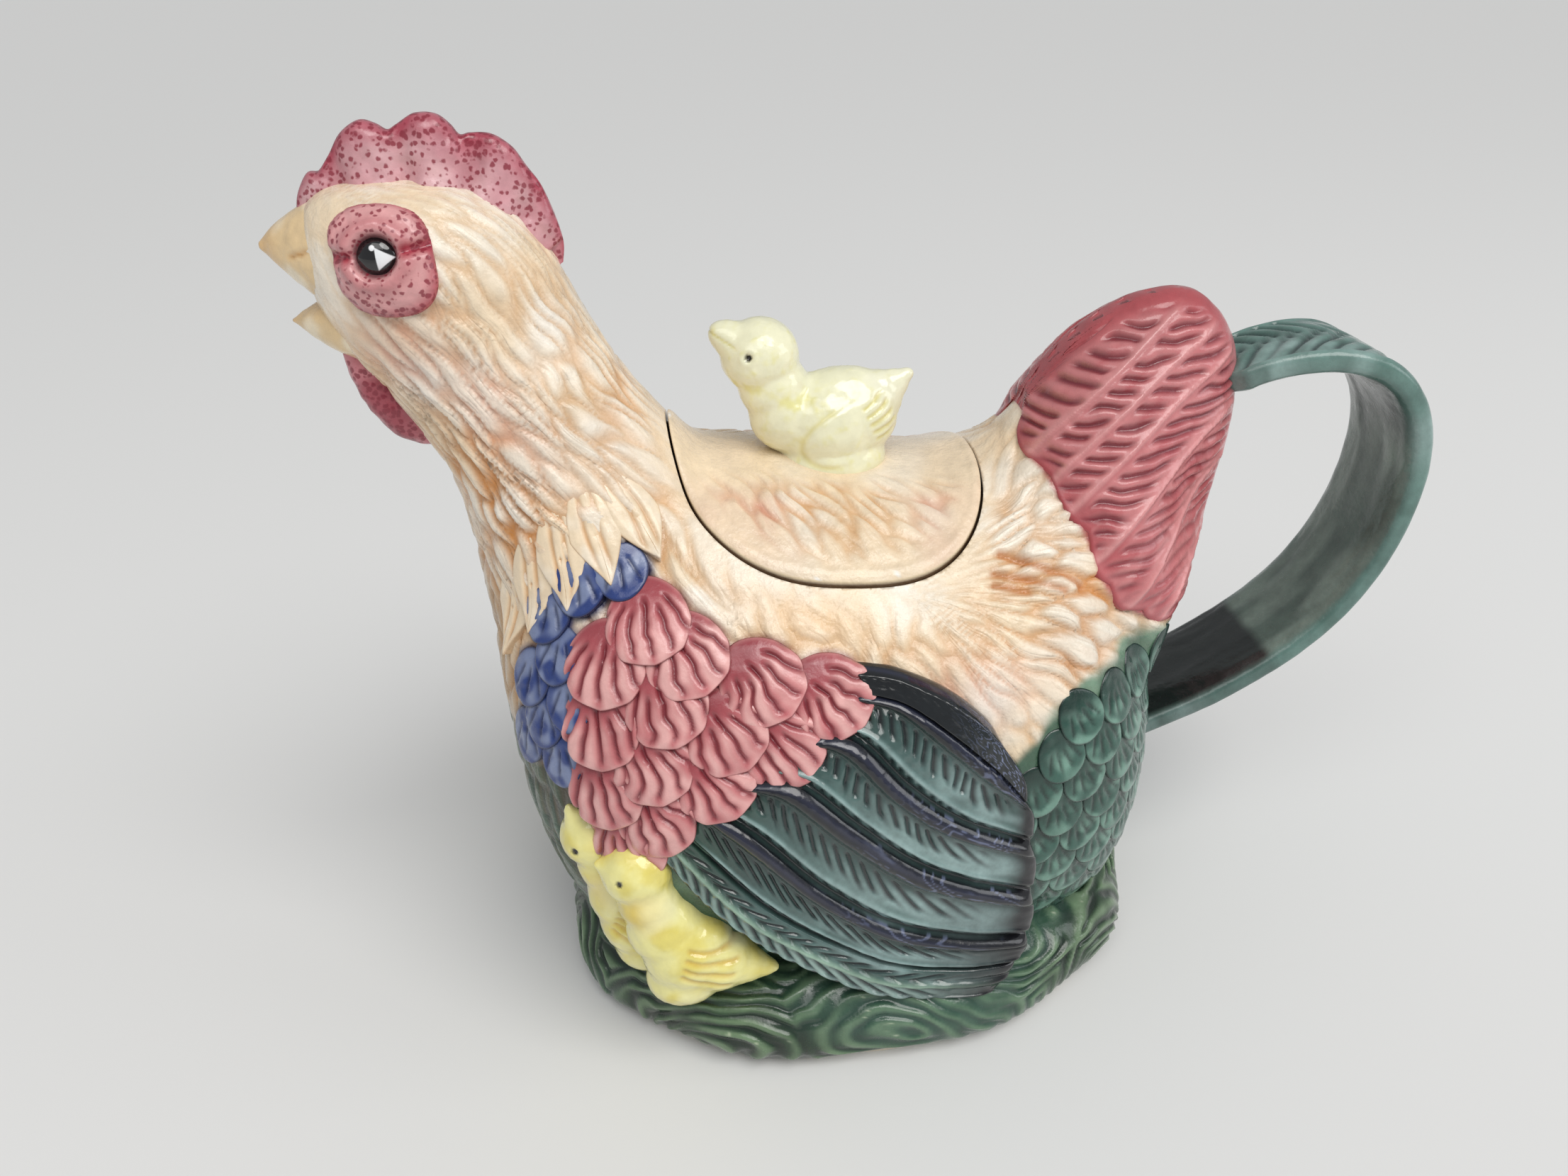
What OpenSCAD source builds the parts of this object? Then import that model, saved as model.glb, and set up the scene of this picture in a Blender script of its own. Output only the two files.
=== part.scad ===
/* [Body] */
// Length of the body from the breast to the rump
body_l = 182; // [160:1:210]
// Width of the body under the wings
body_w = 134; // [118:1:156]
// Height of the back at the middle of the lid
back_h = 151; // [136:1:176]
// Thickness of the fired wall
wall_t = 5.5; // [4.5:0.25:6.5]

/* [Foot and mound] */
// Length of the grass mound
mound_l = 174; // [160:1:200]
// Width of the grass mound
mound_w = 150; // [140:1:172]
// Height of the top of the mound above the table
mound_h = 27; // [22:1:34]
// Height of the dry foot
foot_h = 3; // [2:0.25:5]
// How far the foot stands back from the edge of the mound
foot_inset = 6; // [4:0.5:12]
// Clay between the foot and the bottom of the body
floor_t = 5; // [4:0.5:7]

/* [Neck and head] */
// Distance from the middle of the body to the middle of the head
head_reach = 92; // [84:1:104]
// Length of the head from the face to the nape
head_l = 56; // [48:1:66]
// Width of the head
head_w = 45; // [38:1:54]
// Height of the crown above the table
crown_h = 231; // [212:1:250]
// Height of the comb above the crown
comb_h = 14; // [10:0.5:20]
// Thickness of the comb
comb_t = 10; // [7:0.5:13]
// Length of the upper beak in front of the face
beak_l = 11; // [8:0.5:15]
// Width of the beak at the face
beak_w = 22; // [18:0.5:26]
// Length of the wattle
wattle_l = 30; // [24:0.5:36]
// Radius of the eye
eye_r = 4.6; // [3.5:0.1:6]

/* [Pouring channel] */
// Radius of the channel where it leaves the neck
throat_r = 8.5; // [6:0.25:10]
// Radius of the mouth between the beaks
mouth_r = 4.6; // [4:0.1:5.5]

/* [Lid] */
// Length of the lid along the back
lid_l = 79; // [70:1:84]
// Width of the lid across the back
lid_w = 84; // [72:1:88]
// Gap between the lid and the edge of the opening
lid_gap = 0.8; // [0.5:0.1:1.5]
// How far the lid stands proud of the back
lid_proud = 0.8; // [0.4:0.1:1.5]
// Depth of the ledge below the back
ledge_d = 3; // [2.5:0.25:3.5]
// Width of the ledge that carries the lid
ledge_w = 4.5; // [3.5:0.25:6]
// Air between the lid and the ledge
seat_gap = 0.3; // [0.2:0.05:0.5]
// Depth of the collar below the lid
collar_h = 9; // [6:0.5:12]
// Thickness of the collar
collar_t = 3.4; // [2.5:0.1:4.5]
// Gap between the collar and the ledge
collar_gap = 1.2; // [0.8:0.1:2]
// Length of the chick that is the knob
knob_l = 51; // [44:0.5:58]
// Height of the knob chick above the lid
knob_h = 40; // [34:0.5:46]

/* [Tail and handle] */
// Reach of the tail behind the middle of the body
tail_reach = 111; // [104:0.5:122]
// Height of the top of the tail above the table
tail_h = 186; // [176:1:206]
// Thickness of the tail at its rim
tail_rim_t = 20; // [14:0.5:24]
// Thickness of the tail at its root
tail_root_t = 40; // [32:0.5:50]
// Clear depth of the handle behind the tail
handle_reach = 53; // [46:0.5:64]
// Height from the lower joint to the top of the handle
handle_h = 112; // [100:1:124]
// Width of the handle strap
strap_w = 35; // [28:0.5:42]
// Thickness of the handle strap
strap_t = 8.5; // [7:0.25:10]

/* [Feathers] */
// Length of the longest wing feather
wing_l = 92; // [82:1:102]
// Thickness of a wing feather
quill_t = 9; // [7:0.25:11]
// Width of a shoulder feather
shell_w = 22.5; // [19:0.5:25]
// Height of a shoulder feather above the body
shell_t = 3.2; // [2.2:0.1:4.2]
// Height of a chick at the foot of the hen
chick_h = 50; // [42:0.5:56]

/* [Hidden] */

left = -1;
right = 1;
overrun = wall_t * 0.4;
body_z = foot_h + floor_t;

// Cross sections of the body from breast to rump: place along the body, height of the top,
// height of the underside, half width, height of the widest line, pinch of the top
trunk_shares = [
    [-1.01, 0.78, 0.48, 0.20, 0.63, 1.0],
    [-0.975, 0.87, 0.34, 0.44, 0.61, 1.0],
    [-0.90, 0.945, 0.20, 0.65, 0.57, 1.0],
    [-0.77, 1.00, 0.09, 0.82, 0.53, 1.0],
    [-0.57, 1.045, 0.02, 0.935, 0.50, 1.0],
    [-0.33, 1.035, 0.00, 0.985, 0.49, 1.0],
    [0.00, 1.000, 0.00, 1.000, 0.48, 1.0],
    [0.27, 0.975, 0.00, 0.985, 0.48, 1.0],
    [0.46, 0.985, 0.00, 0.94, 0.48, 1.05],
    [0.60, 1.02, 0.01, 0.88, 0.48, 1.2],
    [0.73, 0.955, 0.04, 0.785, 0.475, 1.25],
    [0.83, 0.83, 0.10, 0.645, 0.46, 1.15],
    [0.91, 0.70, 0.19, 0.45, 0.45, 1.05],
    [0.955, 0.58, 0.29, 0.22, 0.44, 1.0]];
low_y_share = 0.7;
low_z_share = 0.8;
trunk_rows = [for (r = trunk_shares) [r[0] * body_l / 2, body_z + r[1] * (back_h - body_z),
    body_z + r[2] * (back_h - body_z), r[3] * body_w / 2, body_z + r[4] * (back_h - body_z), r[5]]];
trunk_rings = 15;
trunk_sides = 18;

// Cross sections of the neck and head: front edge, rear edge, half width, fullness of the front.
// Places along are shares of half the head, heights are shares of the neck above the back
neck_shares = [
    [0.04, -0.70, 3.64, -0.70, 2.20, 0.00],
    [-0.02, -0.48, 3.25, -0.46, 2.03, 0.02],
    [-0.04, -0.32, 2.85, -0.24, 1.83, 0.05],
    [-0.05, -0.17, 2.45, -0.06, 1.65, 0.06],
    [-0.07, -0.04, 2.15, 0.07, 1.50, 0.05],
    [-0.13, 0.09, 1.88, 0.18, 1.36, 0.02],
    [-0.26, 0.21, 1.61, 0.31, 1.24, 0.00],
    [-0.44, 0.33, 1.39, 0.45, 1.15, -0.02],
    [-0.64, 0.44, 1.20, 0.60, 1.08, -0.04],
    [-0.84, 0.55, 1.04, 0.75, 1.04, -0.04],
    [-0.95, 0.66, 0.82, 0.87, 1.01, -0.02],
    [-0.98, 0.77, 0.50, 0.95, 0.94, 0.00],
    [-0.96, 0.87, 0.16, 0.985, 0.78, 0.00],
    [-0.88, 0.945, -0.15, 1.00, 0.52, 0.00],
    [-0.72, 0.99, -0.40, 1.00, 0.22, 0.00]];
neck_rows = [for (r = neck_shares) [-head_reach + r[0] * head_l / 2, back_h + r[1] * (crown_h - back_h),
    -head_reach + r[2] * head_l / 2, back_h + r[3] * (crown_h - back_h), r[4] * head_w / 2, r[5]]];
neck_rings = 12;
neck_sides = 20;
// Raised hackle locks round the neck, offset from one row of the loft's rings to the next
lock_share = 0.013;
lock_rows = 4;
cavity_sides = 11;
// Shares of the neck loft where the cavity and the saddle pieces end
cavity_top_share = 0.80;
saddle_top_share = 0.56;

// Smooth curve through the rows of a table
function catmull(a, b, c, d, u) =
    (2 * b + (c - a) * u + (2 * a - 5 * b + 4 * c - d) * u * u + (3 * b - a - 3 * c + d) * u * u * u) / 2;
function row_at(rows, s) =
    let (last = len(rows) - 1, f = s * last, i = max(0, min(floor(f), last - 1)))
    catmull(rows[max(i - 1, 0)], rows[i], rows[i + 1], rows[min(i + 2, last)], f - i);

function power(v, e) = sign(v) * pow(abs(v), e);
function trunk_point(s, t) =
    let (r = row_at(trunk_rows, s), c = cos(t), n = sin(t))
    [r[0],
     n >= 0 ? r[3] * power(c, r[5]) : r[3] * power(c, low_y_share),
     n >= 0 ? r[4] + (r[1] - r[4]) * n : r[4] - (r[4] - r[2]) * pow(-n, low_z_share)];
function neck_point(s, t) =
    let (r = row_at(neck_rows, s), u = (1 - cos(t)) / 2)
    [r[0] + (r[2] - r[0]) * u, -r[4] * sin(t) * (1 + r[5] * cos(t)), r[1] + (r[3] - r[1]) * u];
// The neck with its locks, which fade out towards the face and the nape
function lock_fade(s, t) = pow((1 + cos(t)) / 2, 0.7) * max(0, sin(180 * min(1, s / lock_top_share)));
lock_top_share = 0.85;
function neck_skin(s, t) = neck_point(s, t)
    + lock_share * head_w * lock_fade(s, t) * cos(neck_sides / 2 * t + 180 * floor(s * lock_rows))
        * [-cos(t), -sin(t), 0];

// A point of a form moved outwards by d along the surface's own normal
s_step = 0.004;
t_step = 2;
function unit(v) = v / norm(v);
function grown(point, s, t, d) = d == 0 ? point(s, t) :
    point(s, t) + d * unit(cross(point(s, t + t_step) - point(s, t - t_step),
        point(min(s + s_step, 1), t) - point(max(s - s_step, 0), t)));

module loft(point, rings, sides, d, s0, s1) {
    ring_points = [for (i = [0 : rings], j = [0 : sides - 1])
        grown(point, s0 + (s1 - s0) * i / rings, 360 * j / sides, d)];
    centres = [for (k = [0, rings])
        [for (a = [0 : 2]) let (ring = [for (j = [0 : sides - 1]) ring_points[k * sides + j][a]])
            ring * [for (j = ring) 1] / sides]];
    walls = [for (i = [0 : rings - 1], j = [0 : sides - 1], half = [0, 1])
        let (a = i * sides + j, b = i * sides + (j + 1) % sides, c = b + sides, e = a + sides)
        half == 0 ? [a, e, c] : [a, c, b]];
    first = (rings + 1) * sides;
    caps = [for (j = [0 : sides - 1], k = [0, 1]) let (a = k * rings * sides + j, b = k * rings * sides + (j + 1) % sides)
        k == 0 ? [a, b, first] : [b, a, first + 1]];
    polyhedron(concat(ring_points, centres), concat(walls, caps));
}

// The outer form of the hen without its trim, grown by d
module hen_form(d = 0, neck_top = 1) {
    loft(function(s, t) trunk_point(s, t), trunk_rings, trunk_sides, d, 0, 1);
    loft(function(s, t) d == 0 ? neck_skin(s, t) : neck_point(s, t), ceil(neck_rings * neck_top), neck_sides, d, 0, neck_top);
}

// Half width of the body at a place on its side
function row_by_x(x) =
    let (n = len(trunk_rows), i = max([0, for (k = [0 : n - 2]) if (trunk_rows[k][0] <= x) k]),
        a = trunk_rows[i], b = trunk_rows[i + 1])
    a + (b - a) * max(0, min(1, (x - a[0]) / (b[0] - a[0])));
function trunk_side(x, z) =
    let (r = row_by_x(x), up = z >= r[4],
        n = up ? min(1, (z - r[4]) / (r[1] - r[4])) : pow(min(1, (r[4] - z) / (r[4] - r[2])), 1 / low_z_share))
    r[3] * pow(sqrt(max(0, 1 - n * n)), up ? r[5] : low_y_share);
function neck_side(x, z) =
    let (steps = 60,
        near = [for (k = [0 : steps]) let (r = row_at(neck_rows, k / steps), u = (x - r[0]) / (r[2] - r[0]))
            if (u > 0 && u < 1) [abs(r[1] + (r[3] - r[1]) * u - z), r[4] * sqrt(4 * u * (1 - u)) * (1 + r[5] * (1 - 2 * u))]],
        best = min([for (v = near) v[0]]))
    [for (v = near) if (v[0] == best) v[1]][0];
// Half width of the whole hen, with the neck where the place is above the widest line of the breast
function side_y(x, z) = z > back_h * neck_from_share && x < -body_l / 2 * neck_end_share ?
    max(trunk_side(x, z), neck_side(x, z)) : trunk_side(x, z);
neck_from_share = 0.68;
neck_end_share = 0.35;

module blob(p, r, fn = 8) { translate(p) scale(r) sphere(1, $fn = fn); }
// A chain of blobs along points, each hulled to the next
module chain(points, radii, fn = 8) {
    for (i = [0 : len(points) - 2]) hull() {
        blob(points[i], radii[i], fn);
        blob(points[i + 1], radii[i + 1], fn);
    }
}

// One hull round all the blobs of a run
module fused(points, radii, fn = 8) {
    hull() for (i = [0 : len(points) - 1]) blob(points[i], radii[i], fn);
}

// A rounded oval outline between a circle and a rectangle
function oval(l, w, fullness, n) =
    [for (k = [0 : n - 1]) let (t = 360 * k / n)
        [l / 2 * power(cos(t), 2 / fullness), w / 2 * power(sin(t), 2 / fullness)]];

// Foot and mound
mound_fullness = 2.2;
foot_sides = 28;
mound_sides = 40;
module foot() {
    color("antiquewhite") linear_extrude(foot_h)
        polygon(oval(mound_l - 2 * foot_inset, mound_w - 2 * foot_inset, mound_fullness, foot_sides));
}

// Outline of the mound from its underside to its top: share of the size, share of the height
mound_shares = [[0.965, 0], [0.995, 0.14], [1, 0.34], [0.975, 0.60], [0.91, 0.82], [0.80, 0.95], [0.66, 1]];
mound_lobes = 9;
lobe_share = 0.012;
// Tufts of grass: ribs on every other side of the mound, offset halfway up, highest between the edges
tuft_share = 0.016;
function tuft(k, h) = tuft_share * sin(180 * h) * (k % 2 == 0 ? 1 : -1) * (h > 0.5 ? -1 : 1);
module mound_form() {
    rings = len(mound_shares);
    points = [for (r = mound_shares, k = [0 : mound_sides - 1])
        let (q = oval(mound_l, mound_w, mound_fullness, mound_sides)[k], t = 360 * k / mound_sides,
            lobe = r[0] * (1 + lobe_share * sin(mound_lobes * t + 140 * r[1]) + tuft(k, r[1])))
        [q[0] * lobe, q[1] * lobe, foot_h + (mound_h - foot_h) * r[1]]];
    faces = [for (i = [0 : rings - 2], k = [0 : mound_sides - 1], half = [0, 1])
        let (a = i * mound_sides + k, b = i * mound_sides + (k + 1) % mound_sides, c = b + mound_sides, e = a + mound_sides)
        half == 0 ? [a, c, b] : [a, e, c]];
    under = [for (k = [0 : mound_sides - 1]) k];
    over = [for (k = [mound_sides - 1 : -1 : 0]) (rings - 1) * mound_sides + k];
    polyhedron(points, concat(faces, [under, over]));
}
module grass_mound() {
    color("seagreen") difference() {
        mound_form();
        hen_form();
    }
}

// Lid and opening
lid_fullness = 2.7;
oval_sides = 24;
well_h = crown_h;
lid_bottom = back_h * 0.66;
module lid_prism(inset, h = well_h) {
    translate([0, 0, lid_bottom]) linear_extrude(h)
        polygon(oval(lid_l - 2 * inset, lid_w - 2 * inset, lid_fullness, oval_sides));
}

// The channel from the neck to the mouth between the beaks
mouth_z = back_h + 0.70 * (crown_h - back_h);
face_x = -head_reach - head_l / 2 * 0.96;
channel_steps = 8;
module pour_channel() {
    from = [-head_reach + head_l * 0.02, 0, mouth_z - throat_r * 0.5];
    to = [face_x - beak_l * 1.5, 0, mouth_z + mouth_r * 0.3];
    points = [for (k = [0 : channel_steps]) from + (to - from) * k / channel_steps];
    radii = [for (k = [0 : channel_steps]) let (u = min(1, 1.45 * k / channel_steps), r = throat_r + (mouth_r - throat_r) * u) [r, r, r]];
    chain(points, radii, 8);
}

module cavity() {
    intersection() {
        union() {
            loft(function(s, t) trunk_point(s, t), trunk_rings - 5, trunk_sides - 4, -wall_t, 0, 1);
            loft(function(s, t) neck_point(s, t), neck_rings - 5, cavity_sides, -wall_t, 0, cavity_top_share);
        }
        translate([-body_l, -body_w, body_z + wall_t]) cube([2 * body_l, 2 * body_w, crown_h]);
    }
}

module body_shell() {
    color("wheat") difference() {
        hen_form();
        cavity();
        pour_channel();
        lid_prism(ledge_w - lid_gap);
        difference() {
            lid_prism(-lid_gap);
            hen_form(-ledge_d, saddle_top_share);
        }
    }
}

// Beak
beak_steps = 8;
function beak_curve(u) = 1 - pow(u, 1.7);
module beak_upper_form() {
    root = [face_x + beak_l * 0.35, 0, crown_h - (crown_h - back_h) * 0.185];
    points = [for (k = [0 : beak_steps]) let (u = k / beak_steps)
        [root[0] - beak_l * 1.35 * u, 0, root[2] + beak_l * (0.12 * u + 0.14 * u * u)]];
    radii = [for (k = [0 : beak_steps]) let (c = beak_curve(k / beak_steps))
        [beak_l * 0.12, beak_w / 2 * (0.10 + 0.90 * c), beak_l * (0.06 + 0.86 * c)]];
    chain(points, radii, 7);
}
module beak_lower_form() {
    root = [face_x + beak_l * 0.45, 0, back_h + (crown_h - back_h) * 0.575];
    points = [for (k = [0 : beak_steps]) let (u = k / beak_steps)
        [root[0] - beak_l * 1.20 * u, 0, root[2] + beak_l * (0.22 * u + 0.20 * u * u)]];
    radii = [for (k = [0 : beak_steps]) let (c = beak_curve(k / beak_steps))
        [beak_l * 0.12, beak_w / 2 * (0.10 + 0.74 * c), beak_l * (0.06 + 0.40 * c)]];
    chain(points, radii, 7);
}
module beak_upper() {
    color("burlywood") difference() {
        beak_upper_form();
        hen_form();
        pour_channel();
    }
}
module beak_lower() {
    color("burlywood") difference() {
        beak_lower_form();
        hen_form();
        pour_channel();
        beak_upper_form();
    }
}

// Comb: its base line over the head, and the place, top and radius of each lobe
comb_base_shares = [[-0.84, 0.955], [-0.30, 0.985], [0.22, 0.955], [0.66, 0.87], [1.03, 0.76]];
comb_lobe_shares = [[-0.76, 0.30, 0.50], [-0.34, 0.93, 0.64], [0.16, 1.00, 0.70], [0.62, 0.58, 0.66], [0.92, -0.06, 0.52]];
function comb_lobe(p) = let (x = -head_reach + p[0] * head_l / 2, r = comb_h * p[2])
    [[x, 0, lookup(p[0], [for (q = comb_base_shares) [q[0], back_h + q[1] * (crown_h - back_h)]])],
     [x, 0, crown_h + comb_h * p[1] - r * 0.8], r];
module comb_form() {
    lobes = [for (p = comb_lobe_shares) comb_lobe(p)];
    for (p = lobes) fused([p[0], p[1]], [[p[2] * 1.1, comb_t * 0.5, p[2] * 0.8], [p[2], comb_t * 0.36, p[2] * 0.8]], 6);
    for (k = [1 : len(lobes) - 1]) hull() for (p = [lobes[k - 1], lobes[k]]) {
        blob(p[0], [p[2], comb_t * 0.44, p[2] * 0.8], 4);
        blob(p[1] - [0, 0, p[2] * 0.2], [p[2] * 0.8, comb_t * 0.34, p[2] * 0.8], 4);
    }
}
module comb() {
    color("palevioletred") difference() {
        comb_form();
        hen_form();
        beak_upper_form();
    }
}

// Wattle: two lobes under the beak
wattle_shares = [[-0.76, 0.02, 0.13], [-0.77, -0.28, 0.17], [-0.66, -0.58, 0.21], [-0.48, -0.82, 0.19], [-0.30, -0.94, 0.12]];
module wattle_form() {
    chin = [-head_reach, back_h + (crown_h - back_h) * 0.55];
    for (side = [left, right]) {
        points = [for (p = wattle_shares) [chin[0] + p[0] * head_l / 2, side * wattle_l * 0.10, chin[1] + p[1] * wattle_l]];
        chain(points, [for (p = wattle_shares) [p[2], p[2] * 0.8, p[2]] * wattle_l], 7);
    }
}
module wattle() {
    color("brown") difference() {
        wattle_form();
        hen_form();
        beak_lower_form();
    }
}

// Eyes and the bare skin round them
eye_x = -head_reach - head_l * 0.11;
eye_z = back_h + (crown_h - back_h) * 0.835;
eye_slices = 8;
eye_sides = 8;
function eye_y(side) = side * (neck_side(eye_x, eye_z) + eye_r * 0.06);
module eye_form(side) {
    for (k = [0 : eye_slices - 1]) {
        a = 90 * k / eye_slices;
        b = 90 * (k + 1) / eye_slices;
        translate([eye_x, eye_y(side), eye_z]) rotate([side * -90, 0, 0]) hull() {
            translate([0, 0, eye_r * 0.62 * sin(a) - eye_r * 0.8]) cylinder(r = eye_r * cos(a), h = eye_r * 0.8, $fn = eye_sides);
            translate([0, 0, eye_r * 0.62 * sin(b) - eye_r * 0.8]) cylinder(r = max(eye_r * cos(b), eye_r * 0.08), h = eye_r * 0.8, $fn = eye_sides);
        }
    }
}
// Place and size of the two lobes of the bare skin, in eye radii
patch_shares = [[0.10, 0.75, 2.5, 1.75], [0.25, -0.85, 2.35, 1.75]];
module eye_patch_form(side) {
    for (p = patch_shares) {
        x = eye_x + p[0] * eye_r;
        z = eye_z + p[1] * eye_r;
        blob([x, side * (neck_side(x, z) - eye_r * 0.15), z], [p[2] * eye_r, eye_r * 0.80, p[3] * eye_r], 8);
    }
}
module eye_patch(side) {
    color("palevioletred") difference() {
        eye_patch_form(side);
        hen_form();
        eye_form(side);
        comb_form();
        beak_upper_form();
    }
}
module eye(side) {
    color("black") difference() {
        eye_form(side);
        hen_form();
    }
}

// Tail: root, middle and tip of each feather, along from the back of the lid and up from the back
tail_root_shares = [[-0.02, 0.02], [0.06, -0.26], [0.12, -0.56], [0.20, -0.92], [0.32, -1.28]];
tail_mid_shares = [[0.30, 0.55], [0.46, 0.28], [0.55, -0.10], [0.58, -0.50], [0.62, -0.90]];
tail_tip_shares = [[0.66, 0.84], [0.86, 0.70], [0.92, 0.32], [0.92, -0.12], [0.84, -0.56]];
// Half thickness at the roots, as shares of the root's thickness
tail_half_shares = [0.24, 0.55, 0.78, 0.92, 0.98];
tail_from = lid_l / 2 + lid_gap * 5;
tail_feather_r = tail_rim_t * 0.42;
shaft_r = quill_t * 0.17;
function tail_at(p, y = 0) = [tail_from + p[0] * (tail_reach - tail_from), y, back_h + p[1] * (tail_h - back_h)];
function tail_half(k) = tail_half_shares[k] * tail_root_t;
function tail_stations(k, y) = [
    [tail_at(tail_root_shares[k], y * tail_half(k)), tail_half(k)],
    [tail_at(tail_mid_shares[k], y * (tail_half(k) + tail_rim_t) / 2), (tail_half(k) + tail_rim_t) / 2],
    [tail_at(tail_tip_shares[k], y * tail_rim_t / 2), tail_rim_t / 2]];
module tail_form() {
    for (k = [1 : len(tail_tip_shares) - 1], j = [0, 1]) hull()
        for (st = [tail_stations(k - 1, 0), tail_stations(k, 0)], i = [j, j + 1])
            blob(st[i][0], [tail_feather_r, st[i][1], tail_feather_r], 8);
    for (k = [0 : len(tail_tip_shares) - 1], side = [left, right])
        fused([for (st = tail_stations(k, side)) st[0]], [for (j = [0 : 2]) [shaft_r, shaft_r, shaft_r]], 4);
}
module tail() {
    color("indianred") difference() {
        tail_form();
        hen_form();
        lid_prism(-lid_gap - overrun);
    }
}

// Handle: points along the middle of the strap, as shares of its reach and height
handle_shares = [[-0.05, 0.955], [0.10, 0.985], [0.33, 1.00], [0.56, 0.99], [0.75, 0.94], [0.88, 0.855], [0.94, 0.75],
    [0.93, 0.635], [0.87, 0.52], [0.77, 0.415], [0.63, 0.32], [0.44, 0.235], [0.22, 0.165], [-0.02, 0.105], [-0.26, 0.06], [-0.50, 0.02]];
handle_z = back_h * 0.37;
// Width of the strap at a point: it is narrower where it leaves the tail
function strap_share(k) = min(1, 0.60 + 0.12 * k);
module handle_form() {
    points = [for (p = handle_shares) [tail_reach + p[0] * handle_reach, handle_z + p[1] * handle_h]];
    for (i = [0 : len(points) - 2]) hull()
        for (k = [i, i + 1], side = [left, right])
            blob([points[k][0], side * (strap_w * strap_share(k) - strap_t) / 2, points[k][1]], [strap_t, strap_t, strap_t] / 2, 6);
}
module handle() {
    color("darkseagreen") difference() {
        handle_form();
        hen_form();
        tail_form();
    }
}

// Wing: root and tip of each long feather, along the body and up the back, and how far the tip stands off
wing_root_shares = [[0.00, 0.700], [-0.13, 0.690], [-0.27, 0.630], [-0.40, 0.565], [-0.48, 0.500]];
wing_tip_shares = [[0.335, 0.530], [0.345, 0.420], [0.340, 0.315], [0.315, 0.225], [0.240, 0.165]];
wing_off_shares = [0.30, 0.45, 0.62, 0.85, 1.05];
wing_feather_r = wing_l * 0.135;
module wing_form(side) {
    for (k = [0 : len(wing_root_shares) - 1]) {
        root = [wing_root_shares[k][0] * wing_l, wing_root_shares[k][1] * back_h];
        tip = [wing_tip_shares[k][0] * wing_l, wing_tip_shares[k][1] * back_h];
        points = [for (u = [0, 0.5, 1]) let (p = root + (tip - root) * u, bow = 4 * u * (1 - u) * wing_feather_r * 0.25,
                z = p[1] + bow)
            [p[0] + bow * 0.6, side * (side_y(p[0], max(z, mound_h)) + quill_t * u * wing_off_shares[k]), z]];
        radii = [[wing_feather_r * 0.75, quill_t * 0.4, wing_feather_r * 0.75],
            [wing_feather_r, quill_t / 2, wing_feather_r], [wing_feather_r * 0.82, quill_t / 2, wing_feather_r * 0.82]];
        fused(points, radii, 6);
        fused([for (j = [0 : 2]) points[j] + [0, side * (radii[j][1] - shaft_r * 0.25), 0]],
            [for (j = [0 : 2]) [shaft_r, shaft_r, shaft_r]], 4);
    }
}
module wing(side) {
    color("darkslategray") difference() {
        wing_form(side);
        hen_form();
        mound_form();
        shoulder_form(side);
    }
}

// A frame on the side of the body: its own x runs towards the tip of a feather that points down by turn
module on_side(x, z, side, turn) {
    e = body_w * 0.01;
    slope_x = (side_y(x + e, z) - side_y(x - e, z)) / (2 * e);
    slope_z = (side_y(x, z + e) - side_y(x, z - e)) / (2 * e);
    out = unit([-slope_x, side, -slope_z]);
    along = unit([cos(turn), 0, -sin(turn)] - out * (out * [cos(turn), 0, -sin(turn)]));
    across = cross(out, along);
    translate([x, side * side_y(x, z), z])
        multmatrix([[along[0], across[0], out[0], 0], [along[1], across[1], out[1], 0], [along[2], across[2], out[2], 0]])
            children();
}
// A thin bed under a run of feathers, from each to the next, that keeps them in one piece
module feather_bed(shares, side, w, t) {
    for (i = [0 : len(shares) - 2]) hull() for (p = [shares[i], shares[i + 1]])
        on_side(p[0] * body_l / 2, p[1] * back_h, side, 0) scale([w * 0.25, w * 0.25, t * 0.6]) sphere(1, $fn = 4);
}
module scale_feather(w, t) {
    hull() {
        translate([w * 0.10, 0, t * 0.10]) rotate([0, -8, 0]) scale([w * 0.42, w / 2, t]) sphere(1, $fn = 6);
        translate([-w * 0.42, 0, -t * 0.3]) scale([w * 0.10, w * 0.28, t * 0.6]) sphere(1, $fn = 4);
    }
}

// Shoulder feathers: place along half the body, height as a share of the back, direction of the tip
shoulder_shares = [[-0.50, 0.865], [-0.36, 0.810], [-0.60, 0.785], [-0.19, 0.765], [-0.46, 0.735], [-0.29, 0.700],
    [-0.68, 0.700], [-0.53, 0.650], [-0.38, 0.625], [-0.69, 0.600], [-0.55, 0.555]];
shoulder_turn_from = 70;
shoulder_turn_to = 20;
module shoulder_form(side) {
    for (p = shoulder_shares)
        on_side(p[0] * body_l / 2, p[1] * back_h, side,
            shoulder_turn_from + (shoulder_turn_to - shoulder_turn_from) * (p[0] + 0.72) / 0.64)
            scale_feather(shell_w, shell_t);
}
module shoulder_feathers(side) {
    color("lightcoral") difference() {
        shoulder_form(side);
        hen_form();
    }
}

// Breast feathers
breast_shares = [[-0.60, 0.945], [-0.73, 0.915], [-0.83, 0.870], [-0.70, 0.855], [-0.79, 0.805], [-0.88, 0.765],
    [-0.80, 0.715]];
breast_turn = 75;
module breast_feathers(side) {
    color("royalblue") difference() {
        union() {
            feather_bed(breast_shares, side, shell_w * 0.7, shell_t * 0.8);
            for (p = breast_shares) on_side(p[0] * body_l / 2, p[1] * back_h, side, breast_turn)
                scale_feather(shell_w * 0.7, shell_t * 0.8);
        }
        hen_form();
        shoulder_form(side);
    }
}

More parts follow.
